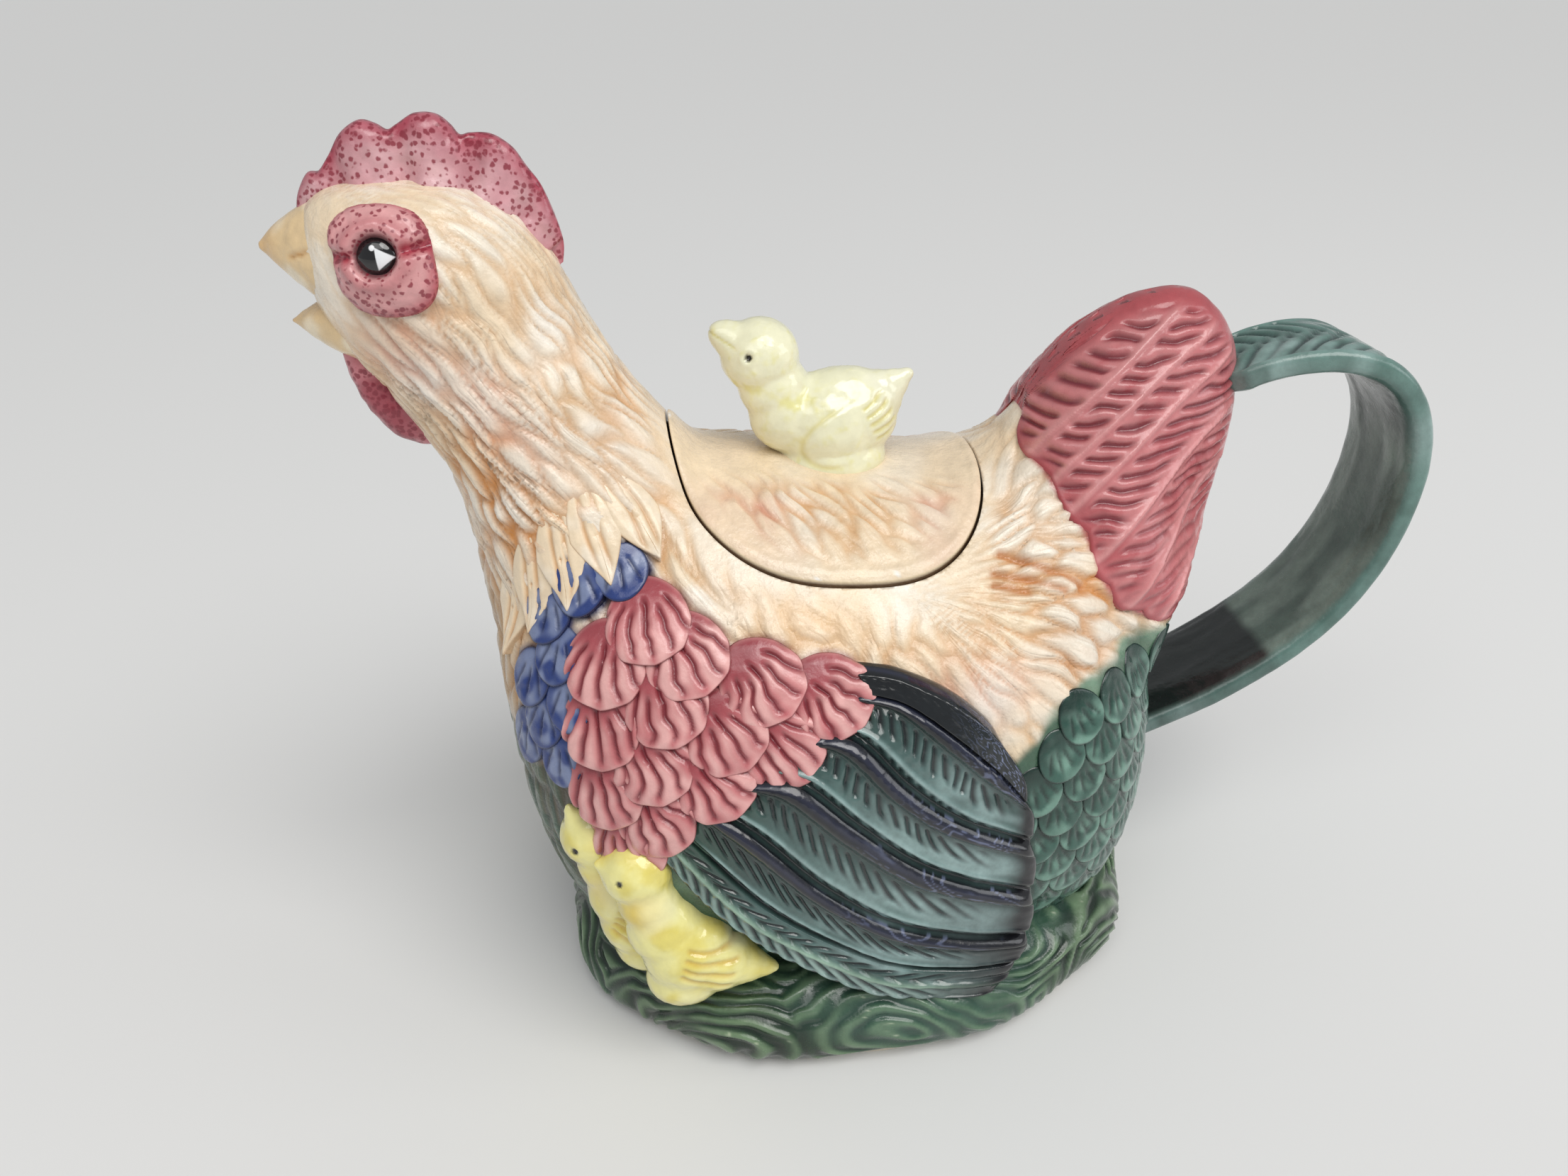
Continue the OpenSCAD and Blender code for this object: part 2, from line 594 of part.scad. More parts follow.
// Rump feathers between the wing tips and the handle: place along half the body, height as a share of the back
rump_shares = [[0.72, 0.76], [0.62, 0.70], [0.78, 0.645], [0.68, 0.585], [0.81, 0.52], [0.70, 0.465], [0.80, 0.395],
    [0.70, 0.345]];
rump_turn = 75;
module rump_feathers(side) {
    color("mediumseagreen") difference() {
        union() {
            feather_bed(rump_shares, side, shell_w, shell_t * 0.8);
            for (p = rump_shares) on_side(p[0] * body_l / 2, p[1] * back_h, side, rump_turn)
                scale_feather(shell_w, shell_t * 0.8);
        }
        hen_form();
        tail_form();
        handle_form();
        wing_form(side);
    }
}

// A chick that looks along the negative x: a chain of blobs from the tip of the beak to the tail or foot.
// Each row is a place and three radii, as shares of the chick's length and height
module chick_form(shares, side, l, h, fn = 7) {
    chain([for (p = shares) [p[0] * l, p[1] * side * l, p[2] * h]], [for (p = shares) [p[3] * l, p[4] * l, p[5] * h]], fn);
}

// Chicks at the foot of the hen, the front one upright and the rear one with its tail out behind
front_chick_shares = [
    [-0.226, 0.045, 1.174, 0.040, 0.038, 0.048],
    [-0.196, 0.030, 1.104, 0.076, 0.064, 0.076],
    [-0.136, 0.000, 0.964, 0.176, 0.164, 0.180],
    [-0.086, 0.000, 0.774, 0.164, 0.160, 0.160],
    [-0.026, 0.000, 0.574, 0.196, 0.192, 0.240],
    [0.034, 0.000, 0.374, 0.220, 0.200, 0.250],
    [0.074, -0.020, 0.174, 0.210, 0.190, 0.180]];
rear_chick_shares = [
    [-0.380, -0.014, 0.966, 0.036, 0.034, 0.032],
    [-0.330, -0.020, 0.944, 0.068, 0.060, 0.056],
    [-0.190, -0.030, 0.884, 0.192, 0.176, 0.188],
    [-0.150, -0.020, 0.694, 0.176, 0.168, 0.160],
    [-0.090, -0.010, 0.514, 0.212, 0.196, 0.220],
    [0.020, 0.000, 0.304, 0.260, 0.212, 0.290],
    [0.160, 0.010, 0.254, 0.210, 0.180, 0.190],
    [0.300, 0.040, 0.206, 0.132, 0.108, 0.108],
    [0.460, 0.068, 0.178, 0.040, 0.038, 0.034]];
module front_chick_form(side) {
    translate([-body_l / 2 * 0.725, side * body_w / 2 * 0.75, mound_h * 0.90])
        chick_form(front_chick_shares, side, chick_h, chick_h);
}
module rear_chick_form(side) {
    translate([-body_l / 2 * 0.56, side * body_w / 2 * 0.91, mound_h * 0.90])
        chick_form(rear_chick_shares, side, chick_h, chick_h);
}
module front_chick(side) {
    color("khaki") difference() {
        front_chick_form(side);
        hen_form();
        mound_form();
        rear_chick_form(side);
        shoulder_form(side);
    }
}
module rear_chick(side) {
    color("khaki") difference() {
        rear_chick_form(side);
        hen_form();
        mound_form();
        wing_form(side);
        shoulder_form(side);
    }
}

// Lid
collar_posts = 14;
module collar_ring() {
    inset = ledge_w - lid_gap + collar_gap + collar_t / 2;
    ring = oval(lid_l - 2 * inset, lid_w - 2 * inset, lid_fullness, collar_posts);
    for (k = [0 : collar_posts - 1]) hull() for (p = [ring[k], ring[(k + 1) % collar_posts]])
        translate([p[0], p[1], lid_bottom]) cylinder(r = collar_t / 2, h = back_h * 0.5, $fn = 6);
}
module lid() {
    under = ledge_d - seat_gap;
    color("moccasin") union() {
        difference() {
            intersection() {
                hen_form(lid_proud, saddle_top_share);
                lid_prism(0);
            }
            hen_form(-under, saddle_top_share);
        }
        difference() {
            intersection() {
                hen_form(-under / 2, saddle_top_share);
                collar_ring();
            }
            hen_form(-under - collar_h, saddle_top_share);
        }
    }
}

// The knob chick, from the tip of its beak over the back to the tip of its tail, and its own base
knob_chick_shares = [
    [-0.563, 0, 0.916, 0.029, 0.027, 0.030],
    [-0.478, 0, 0.841, 0.082, 0.071, 0.073],
    [-0.345, 0, 0.755, 0.188, 0.176, 0.214],
    [-0.292, 0, 0.568, 0.169, 0.169, 0.182],
    [-0.233, 0, 0.386, 0.186, 0.192, 0.239],
    [-0.018, 0, 0.345, 0.278, 0.251, 0.330],
    [0.149, 0, 0.340, 0.196, 0.188, 0.260],
    [0.257, 0, 0.432, 0.110, 0.098, 0.136],
    [0.394, 0, 0.532, 0.043, 0.037, 0.043]];
knob_sink = knob_h * 0.10;
module chick_knob() {
    color("lemonchiffon") difference() {
        translate([lid_l * 0.03, 0, back_h - knob_sink]) {
            chick_form(knob_chick_shares, right, knob_l, knob_h + knob_sink, 8);
            hull() {
                blob([0, 0, knob_sink * 0.6], [knob_l * 0.26, knob_l * 0.225, knob_sink * 1.6], 8);
                blob([knob_l * 0.03, 0, knob_h * 0.25], [knob_l * 0.25, knob_l * 0.22, knob_sink], 8);
            }
        }
        hen_form(lid_proud, saddle_top_share);
    }
}

foot();
grass_mound();
body_shell();
beak_upper();
beak_lower();
comb();
wattle();
eye_patch(left);  // eye_patch_left
eye_patch(right);  // eye_patch_right
eye(left);  // eye_left
eye(right);  // eye_right
tail();
handle();
wing(left);  // wing_left
wing(right);  // wing_right
shoulder_feathers(left);  // shoulder_feathers_left
shoulder_feathers(right);  // shoulder_feathers_right
breast_feathers(left);  // breast_feathers_left
breast_feathers(right);  // breast_feathers_right
rump_feathers(left);  // rump_feathers_left
rump_feathers(right);  // rump_feathers_right
front_chick(left);  // front_chick_left
rear_chick(left);  // rear_chick_left
front_chick(right);  // front_chick_right
rear_chick(right);  // rear_chick_right
lid();
chick_knob();
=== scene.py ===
import math
import bpy
import numpy as np
from mathutils import Matrix, Vector
from mathutils.bvhtree import BVHTree


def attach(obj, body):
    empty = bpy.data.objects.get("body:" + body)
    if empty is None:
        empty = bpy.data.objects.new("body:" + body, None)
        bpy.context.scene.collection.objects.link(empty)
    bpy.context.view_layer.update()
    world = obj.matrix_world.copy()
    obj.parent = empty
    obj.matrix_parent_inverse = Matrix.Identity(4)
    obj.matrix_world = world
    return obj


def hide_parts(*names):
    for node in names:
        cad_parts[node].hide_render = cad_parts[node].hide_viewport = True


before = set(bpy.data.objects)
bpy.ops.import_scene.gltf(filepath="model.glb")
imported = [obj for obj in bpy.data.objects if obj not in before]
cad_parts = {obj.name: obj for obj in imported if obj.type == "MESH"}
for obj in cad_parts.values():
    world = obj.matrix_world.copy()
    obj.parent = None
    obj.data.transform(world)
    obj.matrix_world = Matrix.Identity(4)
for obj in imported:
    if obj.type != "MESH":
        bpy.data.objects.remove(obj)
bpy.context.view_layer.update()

# Lengths below are in millimetres; a mesh is scaled to metres when its object is made
MM = 0.001
TURN = 2 * math.pi
MIRROR = np.array([1.0, -1.0, 1.0])

# ------------------------------------------------------------------ camera, light and stage
PHOTO_FOCAL, PHOTO_WIDTH, SENSOR = 1720.0, 2212.0, 36.0
scene = bpy.context.scene
scene.view_settings.view_transform = "Standard"
camera_data = bpy.data.cameras.new("camera")
camera_data.sensor_width = SENSOR
camera_data.lens = SENSOR * PHOTO_FOCAL / PHOTO_WIDTH
camera_data.clip_start, camera_data.clip_end = 0.01, 20.0
camera = bpy.data.objects.new("camera", camera_data)
scene.collection.objects.link(camera)
forward = Vector((0.0759, 0.8679, -0.4909)).normalized()
rightward = forward.cross(Vector((0.1122, 0.4818, 0.8691))).normalized()
turn = Matrix((rightward, rightward.cross(forward).normalized(), -forward)).transposed()
camera.matrix_world = Matrix.Translation((-0.0390, -0.2984, 0.2804)) @ turn.to_4x4()
scene.camera = camera

world = bpy.data.worlds.new("studio")
scene.world = world
world.use_nodes = True
sky = world.node_tree.nodes["Background"]
sky.inputs["Color"].default_value = (0.95, 0.97, 1.0, 1.0)
sky.inputs["Strength"].default_value = 0.38


def lamp(name, kind, place, target, power, colour, **more):
    data = bpy.data.lights.new(name, kind)
    data.energy, data.color = power, colour
    for key, value in more.items():
        setattr(data, key, value)
    obj = bpy.data.objects.new(name, data)
    obj.location = place
    obj.rotation_euler = (Vector(target) - Vector(place)).to_track_quat("-Z", "Y").to_euler()
    scene.collection.objects.link(obj)


lamp("key", "AREA", (-0.25, -0.75, 1.15), (0, 0, 0.10), 3.0, (1.0, 0.99, 0.97), shape="RECTANGLE", size=0.9, size_y=0.6)
lamp("side", "AREA", (1.1, -0.35, 0.55), (0, 0, 0.12), 2.0, (0.95, 0.97, 1.0), shape="RECTANGLE", size=0.5, size_y=0.6)
lamp("sun", "SUN", (0, 0, 0), (-0.42, 0.62, -1.0), 1.55, (1.0, 0.985, 0.96), angle=math.radians(38))


# ------------------------------------------------------------------ numbers
def rgb(*c):
    """The linear colour of an sRGB one."""
    c = np.array(c, float) / 255.0
    return np.where(c <= 0.04045, c / 12.92, ((c + 0.055) / 1.055) ** 2.4)


def unit(x):
    return np.clip(x, 0, 1)


def mix(a, b, w):
    w = unit(np.asarray(w, float)).reshape(-1, 1)
    return np.asarray(a) * (1 - w) + np.asarray(b) * w


def coats(n, base, *layers):
    """Paint for n points: a ground colour and layers of (colour, weight) over it."""
    c = np.broadcast_to(rgb(*base), (n, 3))
    for tint, w in layers:
        c = mix(c, rgb(*tint) if isinstance(tint, tuple) else tint, w)
    return c


def step(a, b, x):
    x = unit((np.asarray(x, float) - a) / (b - a))
    return x * x * (3 - 2 * x)


def bell(x, w):
    return np.exp(-(np.asarray(x, float) / w) ** 2)


def comb_of(x, gap, width):
    """1 on lines that lie a gap apart, falling to 0 within a width; x counts the gaps."""
    return bell((x - np.round(x)) * gap, width)


def power(v, e):
    return np.sign(v) * np.abs(v) ** e


def round_edge(d, reach):
    """Height share of a quarter round, from 0 at its edge to 1 at its reach."""
    return np.sqrt(unit(1 - (1 - np.minimum(d / reach, 1)) ** 2))


def turns(m):
    return np.linspace(0, TURN, m, endpoint=False)


def lattice(i, j, k, seed):
    h = (i * 73856093) ^ (j * 19349663) ^ (k * 83492791) ^ (seed * 26544357)
    h = h & 0xFFFFFFFF
    h = ((h ^ (h >> 15)) * 2246822519) & 0xFFFFFFFF
    h = ((h ^ (h >> 13)) * 3266489917) & 0xFFFFFFFF
    h = h ^ (h >> 16)
    return h / 2147483648.0 - 1.0


OBLIQUE = np.array(Matrix.Rotation(0.9, 3, Vector((0.5, 0.62, 0.6))))


def noise(p, seed=1):
    """Smooth noise from -1 to 1, its lattice turned away from the axes."""
    p = np.asarray(p, float) @ OBLIQUE
    i = np.floor(p).astype(np.int64)
    f = p - i
    f = f * f * f * (f * (f * 6 - 15) + 10)
    out = np.zeros(len(p))
    for a in (0, 1):
        for b in (0, 1):
            for c in (0, 1):
                w = np.prod([f[:, k] if on else 1 - f[:, k] for k, on in enumerate((a, b, c))], axis=0)
                out += w * lattice(i[:, 0] + a, i[:, 1] + b, i[:, 2] + c, seed)
    return out


def noise2(a, b, seed=1):
    a, b = np.broadcast_arrays(np.asarray(a, float), np.asarray(b, float))
    return noise(np.c_[a.ravel(), b.ravel(), np.full(a.size, seed * 0.37)], seed).reshape(a.shape)


def locks(a, b, seed, jitter=0.85):
    """Loose bricks standing on end: 0 in the seams between them, 1 on their tops."""
    i = np.floor(a).astype(np.int64)
    one, two = np.full(len(a), 9.0), np.full(len(a), 9.0)
    for ci in (i - 1, i, i + 1):
        bb = b - 0.5 * (ci % 2)
        j = np.floor(bb).astype(np.int64)
        for cj in (j - 1, j, j + 1):
            px = ci + 0.5 + 0.5 * jitter * lattice(ci, cj, 0 * ci, seed)
            py = cj + 0.5 + 0.5 * jitter * lattice(ci, cj, 0 * ci + 1, seed)
            d = np.hypot(px - a, py - bb)
            two = np.minimum(two, np.maximum(one, d))
            one = np.minimum(one, d)
    return step(0.0, 0.50, two - one) ** 0.75


def catmull(rows, s):
    rows = np.asarray(rows, float)
    last = len(rows) - 1
    f = unit(np.asarray(s, float)) * last
    i = np.minimum(np.floor(f).astype(int), last - 1)
    u = (f - i)[:, None]
    a, b = rows[np.maximum(i - 1, 0)], rows[i]
    c, d = rows[i + 1], rows[np.minimum(i + 2, last)]
    return (2 * b + (c - a) * u + (2 * a - 5 * b + 4 * c - d) * u * u + (3 * b - a - 3 * c + d) * u ** 3) / 2


def run_of(line):
    """Length along a line of points, up to each of them."""
    return np.r_[0, np.cumsum(np.linalg.norm(np.diff(line, axis=0), axis=1))]


def along_curve(points, n):
    """n points at even steps along a smooth curve."""
    dense = catmull(points, np.linspace(0, 1, 60 * len(points)))
    run = run_of(dense)
    at = np.linspace(0, run[-1], n)
    return np.c_[tuple(np.interp(at, run, column) for column in dense.T)]


def segment_gap(p, a, b):
    """Distance of points from the segment between a and b."""
    rel, way = p - a, b - a
    k = unit(rel @ way / max(way @ way, 1e-9))
    return np.linalg.norm(rel - k[:, None] * way, axis=1)


# ------------------------------------------------------------------ meshes
def grid_faces(nu, nv, wrap_v=False):
    a, b = np.meshgrid(np.arange(nu - 1), np.arange(nv if wrap_v else nv - 1), indexing="ij")
    a, b = a.ravel(), b.ravel()
    b1 = (b + 1) % nv
    return np.c_[a * nv + b, (a + 1) * nv + b, (a + 1) * nv + b1, a * nv + b1]


def fan(ring, centre):
    return np.c_[ring, np.roll(ring, -1), np.full(len(ring), centre)].tolist()


def tube(rings, ends=None):
    """Closed mesh from rings of points (n, m, 3), with a fan to a point at each end."""
    n, m, _ = rings.shape
    verts = np.r_[rings.reshape(-1, 3), ends or (rings[0].mean(0), rings[-1].mean(0))]
    faces = grid_faces(n, m, wrap_v=True).tolist()
    faces += fan(np.arange(m), n * m) + fan(((n - 1) * m + np.arange(m))[::-1], n * m + 1)
    return verts, faces


def ball(centre, radii, m=24):
    t, p = np.linspace(0, math.pi, m // 2 + 1)[1:-1, None], turns(m)
    verts, faces = tube(np.stack([np.sin(t) * np.cos(p), np.sin(t) * np.sin(p), np.cos(t) + 0 * p], axis=-1), ([0, 0, 1], [0, 0, -1]))
    return verts * np.asarray(radii, float) + np.asarray(centre, float), faces


def joined(parts):
    verts, faces, n = [], [], 0
    for v, f in parts:
        verts.append(v)
        faces += [[int(i) + n for i in q] for q in f]
        n += len(v)
    return np.concatenate(verts), faces


def to_mesh(name, verts, faces):
    me = bpy.data.meshes.new(name)
    me.from_pydata(np.asarray(verts).tolist(), [], faces)
    me.update()
    return me


def evaluated(obj):
    """Points and faces of an object after its modifiers."""
    obj_eval = obj.evaluated_get(bpy.context.evaluated_depsgraph_get())
    me = obj_eval.to_mesh()
    v, counts, loops = np.empty(len(me.vertices) * 3), np.empty(len(me.polygons), int), np.empty(len(me.loops), int)
    me.vertices.foreach_get("co", v)
    me.polygons.foreach_get("loop_total", counts)
    me.loops.foreach_get("vertex_index", loops)
    obj_eval.to_mesh_clear()
    return v.reshape(-1, 3), [list(q) for q in np.split(loops, np.cumsum(counts)[:-1])]


def scratch(verts, faces):
    obj = bpy.data.objects.new("scratch", to_mesh("scratch", verts, faces))
    scene.collection.objects.link(obj)
    return obj


def drop(*objs):
    for o in objs:
        me = o.data
        bpy.data.objects.remove(o)
        bpy.data.meshes.remove(me)


def remeshed(verts, faces, voxel):
    obj = scratch(verts, faces)
    mod = obj.modifiers.new("r", "REMESH")
    mod.mode, mod.voxel_size = "VOXEL", voxel
    out = evaluated(obj)
    drop(obj)
    return out


def cut(base, cutters):
    """The base mesh less each closed cutter."""
    obj, tools = scratch(*base), [scratch(*c) for c in cutters]
    for tool in tools:
        mod = obj.modifiers.new("b", "BOOLEAN")
        mod.operation, mod.solver, mod.object = "DIFFERENCE", "MANIFOLD", tool
    out = evaluated(obj)
    drop(obj, *tools)
    return out


def by_size(faces):
    """The faces as arrays, one for each number of corners."""
    lens = {}
    for f in faces:
        lens.setdefault(len(f), []).append(f)
    return [np.array(fs) for fs in lens.values()]


def smoothed(verts, faces, rounds, amount=0.5, weight=1.0):
    v = np.array(verts, float)
    e = [np.stack([fs, np.roll(fs, -1, axis=1)], axis=-1).reshape(-1, 2) for fs in by_size(faces)]
    a, b = np.unique(np.sort(np.concatenate(e), axis=1), axis=0).T
    deg = np.maximum(np.bincount(np.r_[a, b], minlength=len(v)), 1)[:, None]
    w = amount * np.reshape(weight, (-1, 1))
    for _ in range(rounds):
        total = np.c_[tuple(np.bincount(a, v[b, k], len(v)) + np.bincount(b, v[a, k], len(v)) for k in range(3))]
        v += w * (total / deg - v)
    return v


def normals_of(verts, faces):
    n = np.zeros((len(verts), 3))
    for fs in by_size(faces):
        p = verts[fs]
        one, two = (p[:, 2] - p[:, 0], p[:, 3] - p[:, 1]) if fs.shape[1] > 3 else (p[:, 1] - p[:, 0], p[:, 2] - p[:, 0])
        fn = np.cross(one, two)
        for corner in fs.T:
            n += np.c_[tuple(np.bincount(corner, fn[:, a], len(verts)) for a in range(3))]
    return n / np.maximum(np.linalg.norm(n, axis=1), 1e-12)[:, None]


def outward(verts, faces):
    """The faces turned so that they look outwards."""
    faces = faces if isinstance(faces, list) else faces.tolist()
    total = 0.0
    for fs in by_size(faces):
        for j in range(1, fs.shape[1] - 1):
            total += (np.cross(verts[fs[:, 0]], verts[fs[:, j]]) * verts[fs[:, j + 1]]).sum()
    return faces if total > 0 else [q[::-1] for q in faces]


class Skin:
    """A smooth surface that other pieces are laid on."""

    def __init__(self, verts, faces):
        self.v, self.f = verts, faces
        self.n = normals_of(verts, faces)
        self.tree = BVHTree.FromPolygons([Vector(p) for p in verts], faces)

    def normal_at(self, face, p):
        idx = self.f[face]
        d = 1.0 / (((self.v[idx] - p) ** 2).sum(1) + 0.02)
        n = (self.n[idx] * d[:, None]).sum(0)
        return n / np.linalg.norm(n)

    def near(self, pts):
        place, out = np.empty((len(pts), 3)), np.empty((len(pts), 3))
        for k, p in enumerate(pts):
            loc, _, face, _ = self.tree.find_nearest(Vector(p))
            place[k] = loc
            out[k] = self.normal_at(face, place[k])
        return place, out

    def hit(self, start, way):
        loc, _, face, _ = self.tree.ray_cast(Vector(start), Vector(way))
        return None if loc is None else (np.array(loc), self.normal_at(face, np.array(loc)))


# ------------------------------------------------------------------ materials
def glaze(name, spots=False, vary=0.10, vary_scale=260.0, bump=0.25, rough=0.24, spread=0.10, coat=0.25, stroke=None, flow=0.0):
    """Painted glaze: colours from the attribute paint, with spots, or fine lines along the attribute flow."""
    mat = bpy.data.materials.new(name)
    mat.use_nodes = True
    nodes, links = mat.node_tree.nodes, mat.node_tree.links

    def feed(node, inputs):
        for key, value in inputs.items():
            if isinstance(value, bpy.types.NodeSocket):
                links.new(value, node.inputs[key])
            else:
                node.inputs[key].default_value = value

    def add(kind, inputs, **settings):
        node = nodes.new("ShaderNode" + kind)
        for key, value in settings.items():
            setattr(node, key, value)
        feed(node, inputs)
        return node.outputs

    def sums(operation, *values):
        return add("Math", dict(enumerate(values)), operation=operation)["Value"]

    def tex(scale, detail, roughness=0.55):
        return add("TexNoise", {"Scale": scale, "Detail": detail, "Roughness": roughness, "Vector": where})["Fac"]

    def ramp(value, a, b, lo, hi):
        return add("MapRange", {"Value": value, "From Min": a, "From Max": b, "To Min": lo, "To Max": hi})["Result"]

    def blend(kind, factor, a, b):
        return add("Mix", {0: factor, 6: a, 7: b}, data_type="RGBA", blend_type=kind)[2]

    where = add("TexCoord", {})["Object"]
    paint = add("Attribute", {}, attribute_name="paint")
    fine = ramp(tex(vary_scale, 5.0, 0.62), 0.3, 0.7, 1.0 - vary, 1.0 + vary * 0.6)
    wide = ramp(tex(vary_scale * 0.22, 2.0), 0.35, 0.65, 1.0 - vary * 0.6, 1.0 + vary * 0.4)
    colour = blend("MULTIPLY", 1.0, blend("MULTIPLY", 1.0, paint["Color"], fine), wide)
    height = tex(900.0, 3.0, 0.6)
    if spots:
        sway = add("TexNoise", {"Scale": 700.0, "Vector": where})["Color"]
        place = add("VectorMath", {0: sway, 1: (0.0012, 0.0012, 0.0012), 2: where}, operation="MULTIPLY_ADD")["Vector"]
        cells = add("TexVoronoi", {"Scale": 640.0, "Randomness": 0.95, "Vector": place})["Distance"]
        inside = sums("SUBTRACT", ramp(paint["Alpha"], 0.0, 1.0, 0.10, 0.52), cells)
        colour = blend("MIX", ramp(inside, -0.06, 0.10, 0.0, 0.85), colour, (*rgb(134, 34, 52), 1.0))
    if stroke:
        wave = add("TexNoise", {"Scale": stroke, "Detail": 2.0, "Vector": where})["Fac"]
        height = sums("MULTIPLY_ADD", wave, 2.0, height)
    if flow:
        course = add("Attribute", {}, attribute_name="flow")["Vector"]
        deep = add("Attribute", {}, attribute_name="deep")
        grain = add("TexNoise", {"Scale": 1.0, "Detail": 1.0, "Distortion": 0.12, "Vector": course})["Fac"]
        valley = ramp(sums("ABSOLUTE", sums("SUBTRACT", grain, 0.5)), 0.0, 0.13, 1.0, 0.0)
        lines = sums("MULTIPLY", valley, deep["Alpha"])
        colour = blend("MIX", sums("MULTIPLY", lines, flow), colour, deep["Color"])
        height = sums("MULTIPLY_ADD", lines, -0.7, height)
    normal = add("Bump", {"Strength": bump, "Distance": 0.0004, "Height": height})["Normal"]
    roughness = ramp(tex(vary_scale * 1.7, 4.0), 0.3, 0.7, rough - spread * 0.5, rough + spread)
    feed(nodes["Principled BSDF"], {
        "Base Color": colour, "Roughness": roughness, "Normal": normal,
        "Coat Weight": coat, "Coat Roughness": 0.06, "Specular IOR Level": 0.5})
    return mat


GLAZE = glaze("painted_glaze", stroke=240.0)
FEATHERY = glaze("feathered_glaze", stroke=240.0, bump=0.6, flow=0.12, rough=0.25, coat=0.2)
SPOTTED = glaze("spotted_glaze", spots=True, vary=0.12, stroke=300.0)
GREEN_GLAZE = glaze("green_glaze", vary=0.20, vary_scale=220.0, rough=0.20, stroke=260.0)
WING_GLAZE = glaze("wing_glaze", vary=0.22, vary_scale=330.0, rough=0.16, spread=0.08, bump=0.15, coat=0.5)
CHICK_GLAZE = glaze("chick_glaze", vary=0.07, vary_scale=200.0, rough=0.14, spread=0.06, bump=0.12, coat=0.5, stroke=180.0)
EYE_GLAZE = glaze("eye_glaze", vary=0.02, rough=0.06, spread=0.03, bump=0.03, coat=0.8)
BISQUE = glaze("dry_clay", vary=0.14, rough=0.75, spread=0.12, bump=0.6, coat=0.0)


def make(name, verts, faces, paint, mat, slot, nodes=(), alpha=1.0, flow=None, deep=None, body="pitcher"):
    """A piece of the visual model, with its paint as colours at its points."""
    me = to_mesh(name, verts * MM, outward(verts, faces))
    four = np.c_[unit(paint), unit(np.broadcast_to(alpha, len(verts)))]
    me.color_attributes.new("paint", "FLOAT_COLOR", "POINT").data.foreach_set("color", four.ravel())
    if flow is not None:
        me.attributes.new("flow", "FLOAT_VECTOR", "POINT").data.foreach_set("vector", flow.ravel())
        me.color_attributes.new("deep", "FLOAT_COLOR", "POINT").data.foreach_set("color", unit(deep).ravel())
    me.polygons.foreach_set("use_smooth", np.ones(len(me.polygons), bool))
    me.materials.append(mat)
    obj = bpy.data.objects.new(name, me)
    scene.collection.objects.link(obj)
    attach(obj, body)
    if nodes:
        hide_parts(*nodes)


def make_pair(name, verts, faces, paint, mat, slot, nodes=(), alpha=1.0):
    for side, flip in (("_left", np.ones(3)), ("_right", MIRROR)):
        make(name + side, verts * flip, faces, paint, mat, slot, [n + side for n in nodes], alpha)


# ------------------------------------------------------------------ the hen's smooth skin
# Rows as in part.scad: trunk (place, top, bottom, half width, level, corner), neck (front, back, half width, egg shape)
BODY_L, BODY_Z, BACK_Z = 91, 8.0, 151
TRUNK = np.array([
    [-1.01, .78, .48, .20, .63, 1], [-.975, .87, .34, .44, .61, 1], [-.90, .945, .20, .65, .57, 1], [-.77, 1, .09, .82, .53, 1],
    [-.57, 1.045, .02, .935, .50, 1], [-.33, 1.035, 0, .985, .49, 1], [0, 1, 0, 1, .48, 1], [.27, .975, 0, .985, .48, 1],
    [.46, .985, 0, .94, .48, 1.05], [.60, 1.02, .01, .88, .48, 1.2], [.73, .955, .04, .785, .475, 1.25],
    [.83, .83, .10, .645, .46, 1.15], [.91, .70, .19, .45, .45, 1.05], [.955, .58, .29, .22, .44, 1]])
NECK = np.array([
    [.04, -.70, 3.64, -.70, 2.20, 0], [-.02, -.48, 3.25, -.46, 2.03, .02], [-.04, -.32, 2.85, -.24, 1.83, .05],
    [-.05, -.17, 2.45, -.06, 1.65, .06], [-.07, -.04, 2.15, .07, 1.50, .05], [-.13, .09, 1.88, .18, 1.36, .02],
    [-.26, .21, 1.61, .31, 1.24, 0], [-.44, .33, 1.39, .45, 1.15, -.02], [-.64, .44, 1.20, .60, 1.08, -.04],
    [-.84, .55, 1.04, .75, 1.04, -.04], [-.95, .66, .82, .87, 1.01, -.02], [-.98, .77, .50, .95, .94, 0],
    [-.96, .87, .16, .985, .78, 0], [-.88, .945, -.15, 1, .52, 0], [-.72, .99, -.40, 1, .22, 0]])
span = BACK_Z - BODY_Z
trunk_rows = TRUNK * [BODY_L, span, span, 67, span, 1] + [0, BODY_Z, BODY_Z, 0, BODY_Z, 0]
neck_rows = NECK * [28, 80, 28, 80, 22.5, 1] + [-92, BACK_Z, -92, BACK_Z, 0, 0]


def trunk_rings(n, m, inset=0.0):
    c, s = np.cos(turns(m)), np.sin(turns(m))
    out = np.empty((n, m, 3))
    for ring, (x, top, low, half, mid, corner) in zip(out, catmull(trunk_rows, np.linspace(0, 1, n))):
        half, top, low = half - inset, top - inset, low + inset
        ring[:, 0] = x * (1 - inset / BODY_L)
        ring[:, 1] = half * power(c, np.where(s >= 0, corner, 0.7))
        ring[:, 2] = mid + np.where(s >= 0, (top - mid) * s, -(mid - low) * np.abs(s) ** 0.8)
    return out


